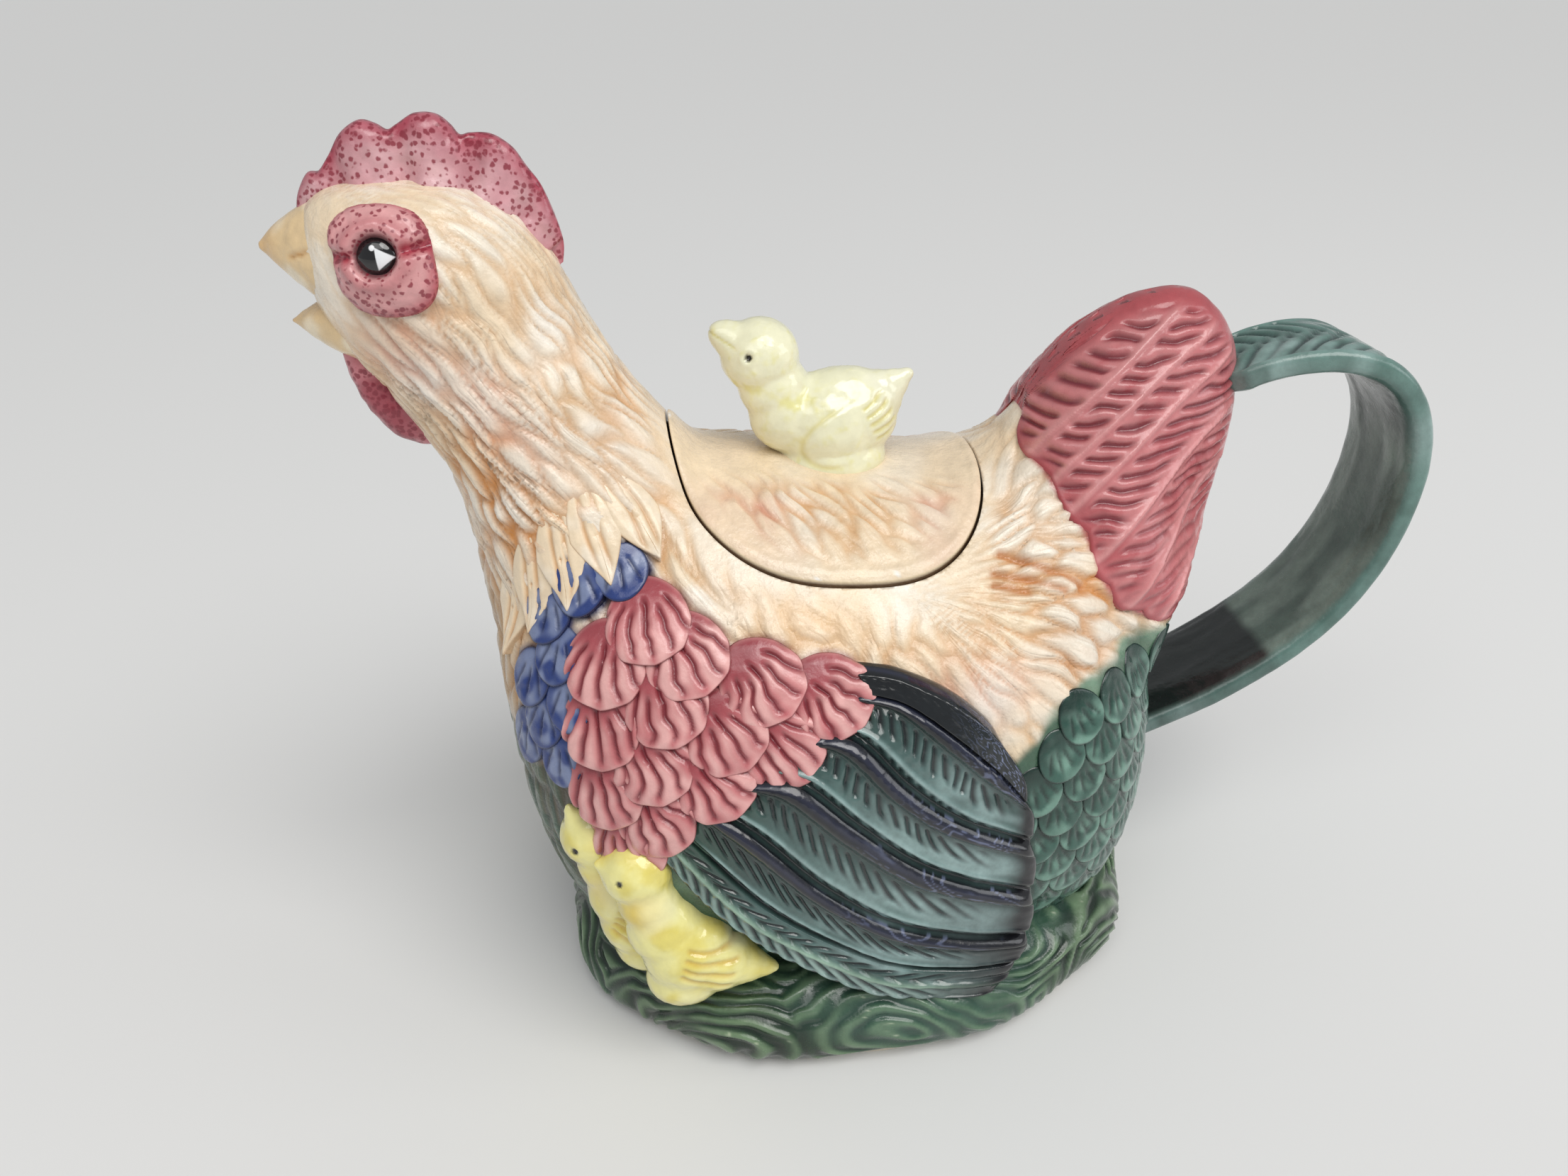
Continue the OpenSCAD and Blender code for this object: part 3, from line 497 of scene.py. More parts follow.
def neck_rings(n, m, inset=0.0, top=1.0):
    c, s = np.cos(turns(m)), np.sin(turns(m))
    out = np.empty((n, m, 3))
    for ring, q in zip(out, catmull(neck_rows, np.linspace(0, top, n))):
        f, b = q[:2], q[2:4]
        way = (b - f) / np.linalg.norm(b - f)
        f, b = f + way * inset, b - way * inset
        ring[:, [0, 2]] = f + (b - f) * ((1 - c) / 2)[:, None]
        ring[:, 1] = -(q[4] - inset) * s * (1 + q[5] * c)
    return out


# Tail: outline of its rim, the line of its roots, and its half thickness at stations of its feathers
TAIL_EDGE = np.array([
    (47, 153), (53, 159.5), (61, 169), (71, 178.5), (84, 185), (97, 185.5), (105, 179), (109.6, 170), (111, 157), (110, 142), (107, 127),
    (101, 113), (95, 102), (88, 92), (83, 86)], float)
TAIL_ROOT = np.array([
    (43, 150), (44, 150), (46, 146), (49, 140), (51, 133), (53, 127), (56, 121), (58, 115), (60, 110), (62, 106), (63, 102), (64, 98),
    (65, 95), (66, 92), (68, 90)], float)
TAIL_RIM = TAIL_EDGE[1:-2]
# Where the pink ends on the body, from the front edge to the bottom edge
TAIL_PINK = np.array([
    (53, 157.5), (50.5, 155), (50.5, 151.5), (53.5, 149), (55.5, 145), (58, 141), (60.5, 137), (62.5, 133), (64, 127), (66, 122),
    (70, 117), (76, 112), (83, 107.5), (89, 104.5), (95, 102)], float)
STATIONS = np.array([
    [-.02, .02], [.06, -.26], [.12, -.56], [.20, -.92], [.32, -1.28], [.30, .55], [.46, .28], [.55, -.10], [.58, -.50], [.62, -.90],
    [.66, .84], [.86, .70], [.92, .32], [.92, -.12], [.84, -.56]]) * [67.5, 35] + [43.5, BACK_Z]
root_half = np.array([.24, .55, .78, .92, .98]) * 40
station_half = np.r_[root_half, (root_half + 20) / 2, np.full(5, 10.0)]


def plate_fit(pts, vals):
    """Thin plate through values at points of the side view."""
    def swell(d):
        return np.where(d > 0, d * d * np.log(np.maximum(d, 1e-9)), 0)

    def gaps(q):
        return np.linalg.norm(q[:, None] - pts[None], axis=2)

    p = np.c_[np.ones(len(pts)), pts]
    a = np.block([[swell(gaps(pts)) + np.eye(len(pts)) * 4.0, p], [p.T, np.zeros((3, 3))]])
    w = np.linalg.solve(a, np.r_[vals, 0, 0, 0])
    return lambda q: swell(gaps(q)) @ w[:-3] + w[-3] + q @ w[-2:]


tail_half_at = plate_fit(STATIONS, station_half)
tail_edge_line = along_curve(TAIL_EDGE, 300)


def tail_y(q):
    d = np.sqrt(((q[:, None] - tail_edge_line[None]) ** 2).sum(2).min(1))
    return tail_half_at(q) * round_edge(d, 9.0)


def tail_wedge(n, m):
    u, w = np.linspace(0, 1, n), np.linspace(-1, 1, m)
    out = np.empty((n, m, 3))
    for k, (edge, root) in enumerate(zip(catmull(TAIL_EDGE, u), catmull(TAIL_ROOT, u))):
        q = edge + (root - edge) * (np.abs(w) ** 1.7)[:, None]
        out[k] = np.c_[q[:, 0], tail_y(q) * np.sign(w), q[:, 1]]
    return out


parts = [tube(trunk_rings(100, 120)), tube(neck_rings(120, 110)), tube(tail_wedge(120, 121))]
forms = [BVHTree.FromPolygons([Vector(p) for p in v], f) for v, f in parts]
skin_v, skin_f = remeshed(*joined(parts), 1.0)
skin_v = smoothed(skin_v, skin_f, 3)
# Smoothed most where two of the three forms meet
second = np.array([sorted(t.find_nearest(Vector(p))[3] for t in forms)[1] for p in skin_v])
skin_v = smoothed(skin_v, skin_f, 45, 0.6, step(9.0, 2.0, second))
skin = Skin(smoothed(skin_v, skin_f, 3), skin_f)


def neck_place(p):
    """Place up the neck and angle from its front, for points on the skin."""
    s = np.linspace(0, 1, 160)
    best, found, last = np.zeros(len(p)), np.zeros(len(p), bool), None
    for k, (fx, fz, bx, bz) in enumerate(catmull(neck_rows, s)[:, :4]):
        g = (bx - fx) * (p[:, 2] - fz) - (bz - fz) * (p[:, 0] - fx)
        if last is not None:
            hit = ~found & (last >= 0) & (g < 0)
            best[hit] = s[k - 1] + (s[k] - s[k - 1]) * last[hit] / (last[hit] - g[hit])
            found |= hit
        last = g
    best[~found & (last >= 0)] = 1.0
    r = catmull(neck_rows, best)
    way = r[:, 2:4] - r[:, 0:2]
    u = ((p[:, [0, 2]] - r[:, 0:2]) * way).sum(1) / (way ** 2).sum(1)
    return best, np.arccos(np.clip(1 - 2 * u, -1, 1))


# ------------------------------------------------------------------ feathers laid on the skin
def stamp(place, out, way, width, length, rings=30, sides=84, shape=0.12, base=0.3, tilt=2.2, dome=1.0, sink=-1.4, side_bulge=None):
    """A feather on the skin: points, normals, its own coordinates (along, across, share to the rim), height, faces."""
    along = way - out * np.dot(way, out)
    along /= np.linalg.norm(along)
    across = np.cross(out, along)
    r = np.r_[np.linspace(0, 1, rings) ** 0.85, 1.0, 1.0]
    rr, tt = np.meshgrid(r, turns(sides), indexing="ij")
    a = rr * np.cos(tt) * length / 2
    b = rr * np.sin(tt) * width / 2 * (1 + shape * np.cos(tt))
    if side_bulge is not None:
        a, b = side_bulge(a, b, rr, tt)
    q, n = skin.near(place + a.ravel()[:, None] * along + b.ravel()[:, None] * across)
    h = base + tilt * (a / length + 0.5) + dome * np.sqrt(unit(1 - rr ** 4))
    h[-2] -= 0.5
    h[-1] = sink
    return q, n, a.ravel(), b.ravel(), rr.ravel(), h.ravel(), grid_faces(len(r), sides, wrap_v=True)


def flank(x, z):
    """Place and normal of the left side at a point of the side view."""
    return skin.hit((x, -140, z), (0, 1, 0))


ROSE_HI, ROSE, ROSE_LO = (232, 176, 172), (188, 94, 100), (116, 28, 42)
BLUE_HI, BLUE, BLUE_LO = (134, 146, 178), (44, 64, 124), (16, 24, 62)
GREEN_HI, GREEN, GREEN_LO = (120, 160, 144), (52, 92, 80), (12, 30, 26)
CREAM_HI, CREAM, TAN = (247, 238, 222), (240, 219, 188), (210, 166, 116)
PINK = (212, 140, 132)

# Each feather: place in the side view and the angle that its tip hangs at
SHOULDER = [(-50, 133, 80), (-42, 126, 70), (-61, 124, 88), (-25, 119, 58), (-9, 114, 50), (-48, 116, 76), (-35, 109, 62), (-22, 104, 55),
    (-64, 110, 84), (-53, 102, 74), (-39, 97, 62), (-65, 94, 80), (-54, 87, 68), (-61, 79, 78)]
BREAST = [(-55, 142, 82), (-65.5, 139, 84), (-74, 132, 88), (-72.5, 124, 86), (-80, 117, 90), (-71, 114, 86), (-78, 108, 90), (-83, 101, 92),
    (-75, 99, 86)]
HACKLE = [(-50, 153, 78), (-60, 151, 80), (-69, 146, 82), (-77, 139, 86), (-83, 131, 90)]


def scalloped(a, b, rr, tt):
    k = 1 - 0.035 * np.abs(np.sin(4.5 * tt)) * step(0.6, 1.0, rr) * step(-0.4, 0.2, np.cos(tt))
    return a * k, b * k


def pointed(a, b, rr, tt):
    return a, b * (1 - 0.85 * np.maximum(np.cos(tt), 0))


def feathers(stamps, tone):
    """Many feathers as one mesh, from (stamp, seed) pairs."""
    parts, paints = [], []
    for (q, n, a, b, r, h, faces), seed in stamps:
        h, paint = tone(a, b, r, h, seed)
        parts.append((q + n * h[:, None], faces.tolist()))
        paints.append(paint)
    return *joined(parts), np.concatenate(paints)


def placed(places, width, length, seed, **more):
    for k, (x, z, deg) in enumerate(places):
        t = math.radians(deg)
        yield stamp(*flank(x, z), np.array([math.cos(t), 0, -math.sin(t)]), width, length, **more), seed + 7 * k


def veins(a, b, length, middle, veins_at, start, end):
    """Fine straight grooves that spread from a point behind the feather."""
    ang, rad = np.arctan2(b, a + length * middle), np.hypot(b, a + length * middle)
    lines = [bell((ang - math.radians(deg)) * rad, 0.5) for deg in veins_at]
    return np.max(lines, axis=0) * step(length * start[0], length * start[1], rad) * step(length * end[0], length * end[1], rad)


def shell_tone(a, b, r, h, seed, length=22.0):
    ang, rad = np.arctan2(b, a + length * 0.62), np.hypot(b, a + length * 0.62)
    fan_at = (ang + 0.05 * noise2(rad * 0.3, ang * 2, seed)) / math.radians(13.5) + 0.25 * noise2(rad * 0.15 + seed, ang, seed + 4)
    which = np.round(fan_at)
    start = length * (0.34 + 0.10 * (which % 2) + 0.03 * np.abs(which))
    lines = bell((fan_at - which) * rad * 0.235, 0.62) * step(start, start + 3.0, rad) * step(length * 1.06, length * 0.98, rad)
    high = (0.1 + 2.2 * np.abs(fan_at - which)) * step(0.38 * length, 0.75 * length, rad)
    high = high * (0.75 + 0.6 * noise2(ang * 5 + seed, rad * 0.15, seed + 2))
    paint = coats(
        len(a), ROSE, (ROSE_HI, high), (ROSE_LO, 0.5 * step(0.72 * length, 0.30 * length, rad)), (ROSE_LO, 0.9 * lines),
        (ROSE_HI, step(0.86, 1.0, r) * 0.35), (ROSE_LO, step(0.975, 1.0, r) * 0.9))
    return h - 1.1 * lines + 0.18 * noise2(a * 0.3, b * 0.3, seed + 1), paint


def blue_tone(a, b, r, h, seed, length=15.0):
    lines = veins(a, b, length, 0.6, (-20, 0, 20), (0.35, 0.5), (0.98, 0.8))
    high = step(-0.2, 0.7, noise2(a * 0.28 + 3, b * 0.35, seed + 3) + 0.5 * (1 - r) - 0.1)
    paint = coats(len(a), BLUE, (BLUE_HI, high * 0.85), (BLUE_LO, 0.7 * lines), (BLUE_LO, step(0.9, 1.0, r) * 0.85))
    return h - 0.45 * lines + 0.15 * noise2(a * 0.6, b * 0.6, seed), paint


def green_tone(a, b, r, h, seed, length=14.0):
    lines = veins(a, b, length, 0.6, (-22.5, -7.5, 7.5, 22.5), (0.4, 0.6), (1.0, 0.85))
    high = noise2(a * 0.3 + 3, b * 0.3, seed + 3) + 0.5 * step(0.55, 0.95, r) * step(-0.1 * length, 0.4 * length, a)
    paint = coats(
        len(a), GREEN, (GREEN_HI, step(-0.1, 0.8, high) * 0.8), (GREEN_LO, 0.8 * lines),
        (GREEN_LO, step(0.3, -0.45, a / length) * 0.75), (GREEN_LO, step(0.97, 1.0, r) * 0.7))
    return h + 0.15 * noise2(a * 0.5, b * 0.5, seed) - 0.4 * lines, paint


def hackle_tone(a, b, r, h, seed):
    groove = bell(b - 1.6 * np.sign(b) - 0.8 * noise2(a * 0.12, b * 0.1, seed), 0.55) * step(1.0, 0.7, r)
    light = step(0, 0.8, noise2(a * 0.2, b * 0.4, seed + 1)) * 0.5
    paint = coats(len(a), CREAM, ((204, 148, 84), 0.7 * groove + 0.4 * step(0.93, 1.0, r)), (CREAM_HI, light))
    return h - 0.6 * groove + 0.12 * noise2(a * 0.3, b * 0.9, seed), paint


def rump_rows():
    """Scales in rows round the rear, each seated by a ray towards the middle."""
    for row, z in enumerate(np.arange(106, 24, -8.6)):
        for k in range(16):
            t = math.radians(-8 + 12.6 * (k + 0.5 * (row % 2)))
            if t > math.pi / 2:
                continue
            way = np.array([math.sin(t), -math.cos(t), 0.0])
            got = skin.hit(np.array([30.0, 0.0, z]) + way * 150, -way)
            if got is None or got[0][0] < 34:
                continue
            x, y, at = got[0]
            under_handle = x > 80 and abs(y) < 13 and 55 < at < 74
            if at > np.interp(x, [34, 36, 47, 58, 77, 90], [84, 90, 99, 104, 104, 100]) or under_handle:
                continue
            lean = 0.25 + 0.22 * float(lattice(row, k, 3, 9))
            scale = stamp(*got, np.array([lean, 0, -1.0]), 13.6, 15.0, rings=13, sides=36, base=0.0, tilt=1.7, dome=0.25, sink=-1.0)
            yield scale, 300 + row * 31 + k


row = placed(SHOULDER, 21.0, 22.0, 11, base=0.1, tilt=3.0, dome=1.2, side_bulge=scalloped)
make_pair("shoulder_feathers", *feathers(row, shell_tone), GLAZE, "shoulder_pink", ["shoulder_feathers"])
row = placed(BREAST, 13.5, 15.0, 111, rings=20, sides=60, base=0.1, tilt=1.9, dome=0.6, shape=-0.10)
make_pair("breast_feathers", *feathers(row, blue_tone), GLAZE, "breast_blue", ["breast_feathers"])
row = placed(HACKLE, 13.0, 26.0, 171, rings=20, sides=60, base=-1.6, tilt=3.9, dome=0.5, side_bulge=pointed)
make_pair("hackle_tips", *feathers(row, hackle_tone), GLAZE, "cream_plumage")
make_pair("rump_feathers", *feathers(rump_rows(), green_tone), GREEN_GLAZE, "rump_green", ["rump_feathers"])

# ------------------------------------------------------------------ wings
# Lines across the wing from its top edge to its bottom edge, each from root to tip, in the side view
WING_LINES = np.array([
    [(-4, 120), (8, 118), (20, 112), (29, 104), (34.0, 95)],
    [(-3, 115), (9, 112), (21, 102.5), (31, 92), (38.5, 82)],
    [(-14, 107), (-3, 104), (8, 91), (20, 80), (40.5, 67)],
    [(-29, 97), (-18, 95), (-5, 82), (13, 65), (41.2, 50)],
    [(-41, 90), (-29, 81), (-13, 62), (8, 46), (40.5, 35)],
    [(-48, 82), (-33, 63), (-16, 47), (6, 33), (37.5, 26)],
    [(-55, 76), (-44, 59), (-25, 40), (0, 23), (30, 17)]], float)
WING_L, WING_H = 60, 95


def trunk_half(x, z):
    """Half width of the trunk at points of the side view."""
    r = np.c_[tuple(np.interp(x, trunk_rows[:, 0], column) for column in trunk_rows.T)]
    n = unit((z - r[:, 4]) / (r[:, 1] - r[:, 4]))
    m = unit((r[:, 4] - z) / (r[:, 4] - r[:, 2])) ** 1.25
    return r[:, 3] * np.where(z >= r[:, 4], np.sqrt(1 - n * n) ** r[:, 5], np.sqrt(1 - m * m) ** 0.7)


def wing():
    nu, nv = 250, 300
    u, v = np.linspace(0, 1, nu), np.linspace(0, 1, nv)
    lines = np.array([catmull(line, u) for line in WING_LINES])
    x, z = np.concatenate([catmull(lines[:, i], v) for i in range(nu)]).T
    uu, vv = np.repeat(u, nv), np.tile(v, nu)
    # Six bands: the top one plain, then five feathers k, and t across each of them
    band = vv * 6.0 - 1.0
    scallop = np.sin(unit(band - np.floor(band)) * math.pi)
    x = x + (1.5 * scallop - 0.6) * step(0.72, 1.0, uu)
    k = np.clip(np.floor(band), -1, 4)
    t = band - k
    top, last = band < 0, k >= 4
    # Each feather: a raised dark band, a vane with barbs, a thin light line, a dark gap
    bump = np.where(top, step(-1.0, -0.7, band), np.where(t < 0.30, np.sin(unit(t / 0.30) * math.pi) ** 0.7, 0))
    vane = np.where(top, 0, step(0.30, 0.42, t) * step(0.97, 0.86, t))
    light = np.where(top, 0, bell(t - 0.80, 0.035))
    gap = np.where(top, 0, bell(t - 0.955, 0.05))
    # The lowest feather has a light shaft with barbs on both sides
    shaft = bell(t - 0.42, 0.06) * last
    barb = comb_of((uu * 62.0 - 16 * np.abs(t - 0.30)) / 3.4 + 0.35 * noise2(uu * 9, k + 0.5, 5), 4.0, 1.0)
    both_sides = step(0.06, 0.14, t) * step(0.96, 0.86, t) * (1 - bell(t - 0.42, 0.08))
    one_side = step(0.33, 0.38, t) * step(0.68 + 0.10 * noise2(uu * 25, k, 9), 0.58, t)
    one_side = one_side + 0.85 * step(0.84, 0.86, t) * step(0.93, 0.90, t)
    barb = barb * unit(np.where(last, both_sides, one_side)) * step(0.02, 0.10, uu) * step(0.90, 0.80, uu) * ~top
    bump = np.where(last, 0.35 * bell(t - 0.42, 0.10) + 0.3 * bump, bump)
    h = 2.0 * bump * step(0.0, 0.06, uu) + 0.55 * light - 1.5 * gap - 0.95 * barb + 0.5 * vane + 0.10 * noise2(uu * 40, vv * 50, 3)
    # Rounded rim all round
    edge = round_edge(np.min([uu * WING_L, (1 - uu) * WING_L, vv * WING_H, (1 - vv) * WING_H], axis=0), 3.5)
    stand_off = 0.62 * (1.2 + 4.2 * step(0.0, 0.35, uu) + 1.5 * uu) - 1.4
    pts = np.c_[x, -(trunk_half(x, np.maximum(z, 74.0)) + stand_off + (h + 1.8) * edge), z]
    bands = np.where(top, 1, np.where(last, 0, step(0.28, 0.20, t)))
    swirl = 0.5 + 0.5 * np.sin(18 * noise2(uu * 10, vv * 38, 31) + 40 * t)
    dark, pale = (9, 10, 17), (148, 174, 172)
    c = coats(
        len(x), (26, 42, 42), ((76, 104, 100), step(0.05, 0.35, uu) * 0.9),
        (pale, step(0.30, 0.8, uu) * step(-0.5, 0.5, noise2(uu * 7, vv * 26, 21) + 0.6 * bell(t - 0.62, 0.2)) * 0.85),
        # The darker green just under each raised band, where t runs from 0.28 to 0.50, is painted shadow of the band
        ((58, 88, 74), step(0.30, 0.0, uu) * 0.85), ((30, 44, 42), step(0.50, 0.28, t) * ~top * (1 - last) * 0.65),
        (dark, barb * 0.97), (dark, bands * 0.96),
        ((132, 142, 176), bands * step(0.84, 0.98, swirl) * step(0.40, 0.85, uu) * 0.7),
        ((48, 52, 78), bands * bell(t - 0.10, 0.05) * 0.5), ((26, 30, 34), gap * 0.9),
        (pale, light * step(0.04, 0.15, uu) * step(0.97, 0.85, uu) * 0.85), ((150, 180, 160), shaft * 0.9),
        ((160, 186, 176), last * (1 - barb) * step(0.45, 0.6, t) * 0.6),
        ((20, 22, 26), step(0.74, 0.92, uu) * step(0.45, 0.75, vv) * 0.85),
        ((14, 14, 20), step(0.89, 0.955, uu + 0.02 * noise2(vv * 20, uu * 3, 8))), ((18, 22, 26), step(0.955, 0.985, vv)))
    # Wall from the rim in to the body
    ring = np.r_[np.arange(nv), np.arange(1, nu) * nv + nv - 1, (nu - 1) * nv + np.arange(nv - 1)[::-1], np.arange(1, nu - 1)[::-1] * nv]
    m = len(ring)
    inner = np.maximum(trunk_half(*pts[ring][:, [0, 2]].T) - 3.0, 20.0)
    faces = grid_faces(nu, nv)[:, ::-1].tolist()
    walls, before = [pts], ring
    for j, share in enumerate((0.12, 0.4, 1.0)):
        w = pts[ring]
        w[:, 1] = w[:, 1] * (1 - share) - inner * share
        way = [2.0, 62.0] - w[:, [0, 2]]
        if j:
            w[:, [0, 2]] += way / np.linalg.norm(way, axis=1)[:, None] * 1.2 * share
        walls.append(w)
        now = len(pts) + j * m + np.arange(m)
        faces += np.c_[before, now, np.roll(now, -1), np.roll(before, -1)].tolist()
        before = now
    return np.concatenate(walls), faces, np.r_[c, coats(3 * m, (15, 16, 20))]


make_pair("wing", *wing(), WING_GLAZE, "wing_teal", ["wing"])


# ------------------------------------------------------------------ tail
# Seven shafts from root to tip, with a row of short level dashes between each two
SHAFTS = np.array([
    [(49.5, 157.5), (86, 187)], [(54, 153), (93.8, 184)], [(57, 147.5), (100, 178)], [(60, 141), (107, 172)], [(66, 130), (111, 159)],
    [(75, 116), (110, 144)], [(84, 106), (104, 123)]], float)
DASH_GAP, STREAK_GAP = 3.25, 2.3


def tail():
    n, m = 230, 200
    u, w = np.linspace(0, 1, n), np.linspace(0, 1, m) ** 1.35
    edge, bound = along_curve(TAIL_RIM, n), along_curve(TAIL_PINK, n)
    lobes = 2.4 * np.abs(np.sin(u * math.pi * 5.5)) * np.sin(u * math.pi) ** 0.4
    out_way = edge - bound
    out_way /= np.maximum(np.linalg.norm(out_way, axis=1), 1e-6)[:, None]
    bound = bound - out_way * (lobes - 1.2)[:, None]
    flat = (edge[:, None] + (bound - edge)[:, None] * w[None, :, None]).reshape(-1, 2)
    uu, ww = np.repeat(u, m), np.tile(w, n)
    reach = np.repeat(np.linalg.norm(edge - bound, axis=1), m)
    from_rim, from_root = ww * reach, reach * (1 - ww)
    side = np.c_[flat[:, 0], -tail_y(flat), flat[:, 1]]
    near, out = skin.near(side)
    out[:, 1] = np.minimum(out[:, 1], 0)
    # Distances along and across each shaft, which bends by 2 mm
    rel, way = flat - SHAFTS[:, :1], SHAFTS[:, 1] - SHAFTS[:, 0]
    size = np.linalg.norm(way, axis=1)[:, None]
    way = way / size
    t = (rel * way[:, None]).sum(2)
    cross = rel[..., 0] * way[:, 1:] - rel[..., 1] * way[:, :1] + 2.0 * np.sin(unit(t / size) * math.pi)
    along, away = t[0], np.abs(cross).min(0)
    row, here = (cross > 0).sum(0), np.arange(len(flat))
    upper = np.where(row > 0, cross[np.maximum(row - 1, 0), here], 8.0 + cross[0])
    lower = np.where(row < len(SHAFTS), -cross[np.minimum(row, len(SHAFTS) - 1), here], 8.0 - cross[-1])
    share = unit(upper / np.maximum(upper + lower, 0.1))
    shaft = bell(away, 0.85) * step(2.0, 5.0, from_rim)
    phase = flat[:, 1] / DASH_GAP + 0.37 * row + 0.35 * noise2(flat[:, 0] * 0.16, flat[:, 1] * 0.16 + 7 * row, 41)
    dash = comb_of(phase, DASH_GAP, 0.78) * np.interp(row, [4, 6], [1, 0.45]) * step(0.08, 0.22, share)
    dash = dash * step(0.92, 0.74, share + 0.12 * noise2(flat[:, 1] * 0.5, row * 3.1, 43)) * step(2.0, 4.5, from_rim)
    # In front of the first shaft: fine streaks along it
    front = row == 0
    lines = (cross[0] + 1.2 * noise2(along * 0.09, cross[0] * 0.2, 46)) / STREAK_GAP
    streak = comb_of(lines, STREAK_GAP, 0.6) * step(-0.3, 0.4, noise2(along * 0.12, np.round(lines) * 5.3, 47))
    barb = np.where(front, 0.8 * streak * step(0.3, 2.2, from_rim), dash) * step(0.0, 4.0, from_root)
    valley = bell(share - 0.04, 0.05) * step(3, 6, from_rim) * ~front
    h = 1.35 + 0.55 * shaft - 1.15 * barb - 0.35 * valley + 0.12 * noise(side * 0.4, 44)
    h = h * step(0.0, 9.0, from_root) + 0.22 * step(0.0, 1.6, from_root)
    pts = near + out * np.where(from_root < 0.35, -1.2, h)[:, None]
    pale, rim = (216, 146, 146), mix(rgb(172, 72, 78), rgb(226, 164, 168), step(0.40, 0.62, uu))
    c = coats(
        len(flat), (188, 98, 102), (pale, 0.55 * step(-0.4, 0.6, noise2(along * 0.12, away * 0.35, 45))), ((116, 30, 44), barb * 0.95),
        ((150, 52, 62), valley * 0.6), (pale, shaft * 0.8 + 0.4 * step(0.7, 0.95, share) * ~front),
        (rim, step(6.0, 1.0, from_rim) * 0.85), ((160, 60, 66), step(2.2, 0.6, from_root) * 0.8))
    # Both sides meet along the rim
    pts[::m, 1] = 0
    left, c = pts.reshape(n, m, 3), c.reshape(n, m, 3)
    pts = np.concatenate([left[:, ::-1], left[:, 1:] * MIRROR], axis=1).reshape(-1, 3)
    return pts, grid_faces(n, 2 * m - 1), np.concatenate([c[:, ::-1], c[:, 1:]], axis=1).reshape(-1, 3)


make("tail", *tail(), GLAZE, "tail_rose", ["tail"])

# ------------------------------------------------------------------ handle
HANDLE = np.array([
    [-.13, .93], [.08, .98], [.33, 1], [.56, .99], [.75, .94], [.88, .855], [.94, .75], [.93, .635], [.87, .52], [.77, .415], [.63, .32],
    [.44, .235], [.22, .165], [-.02, .105], [-.26, .06], [-.50, .02]])
HANDLE_WIDE, HANDLE_THICK, CHEVRON_GAP = 35.0, 8.5, 6.3


def handle():
    line, t = along_curve(HANDLE * [53, 112] + [111, 55.87], 330), turns(132)
    way = np.gradient(line, axis=0)
    way /= np.linalg.norm(way, axis=1)[:, None]
    k = np.linspace(0, 1, len(line))[:, None]
    run, across, up = np.broadcast_arrays(run_of(line)[:, None], power(np.cos(t), 0.55), power(np.sin(t), 0.62))
    y = HANDLE_WIDE / 2 * np.minimum(1, 0.60 + 1.8 * k) * (0.35 + 0.65 * step(0.0, 9.0, run)) * across
    outer, inner, edge = step(0.5, 0.95, up), step(0.5, 0.95, -up), step(0.80, 0.88, np.abs(across))
    face = outer * (1 - edge)
    # Grooves in chevrons across the outer face, which lies a little lower than its edges
    phase = (run + 1.05 * np.abs(y) + 1.2 * noise2(y * 0.15, run * 0.06, 51)) / CHEVRON_GAP
    groove = comb_of(phase, CHEVRON_GAP, 1.15) * face * step(0.26, 0.75, noise2(y * 0.12 + 5, run * 0.10, 57) * 0.5 + 0.62)
    rad = HANDLE_THICK / 2 * up - groove - 0.8 * face + 0.10 * noise2(y * 0.4, run * 0.25, 52)
    rad = rad + 0.25 * inner * noise2(y * 0.35, run * 0.05, 53)
    verts, faces = tube(np.stack([line[:, :1] - way[:, 1:] * rad, y, line[:, 1:] + way[:, :1] * rad], axis=-1))
    inside = coats(
        y.size, (120, 136, 126), ((60, 78, 70), step(-0.3, 0.5, noise2(y * 0.22, run * 0.045, 56)) * 0.7),
        ((28, 34, 34), step(78, 60, run) * step(20, 34, run) * 0.75))
    foot = step(run[-1] - 50, run[-1] - 46, run)
    c = coats(
        y.size, (98, 130, 122), ((158, 182, 178), step(-0.2, 0.7, noise2(y * 0.12, run * 0.07, 54)) * 0.7),
        ((54, 84, 74), step(0.0, 0.7, noise2(y * 0.25, run * 0.14, 55)) * 0.5), ((12, 38, 38), groove * 0.95),
        ((128, 156, 150), edge * outer * 0.5), (inside, inner), ((22, 26, 26), foot * unit(0.35 + inner) * 0.95))
    return verts, faces, np.r_[c, [rgb(40, 50, 46)], [rgb(20, 24, 24)]]


make("handle", *handle(), GREEN_GLAZE, "handle_green", ["handle"])

# ------------------------------------------------------------------ grass mound
# Its size, and the radius that distances round it are measured at
MOUND_L, MOUND_W, MOUND_BASE, MOUND_TOP, MOUND_RUN, CURLS = 87, 75, 3.0, 27.0, 80.0, 17


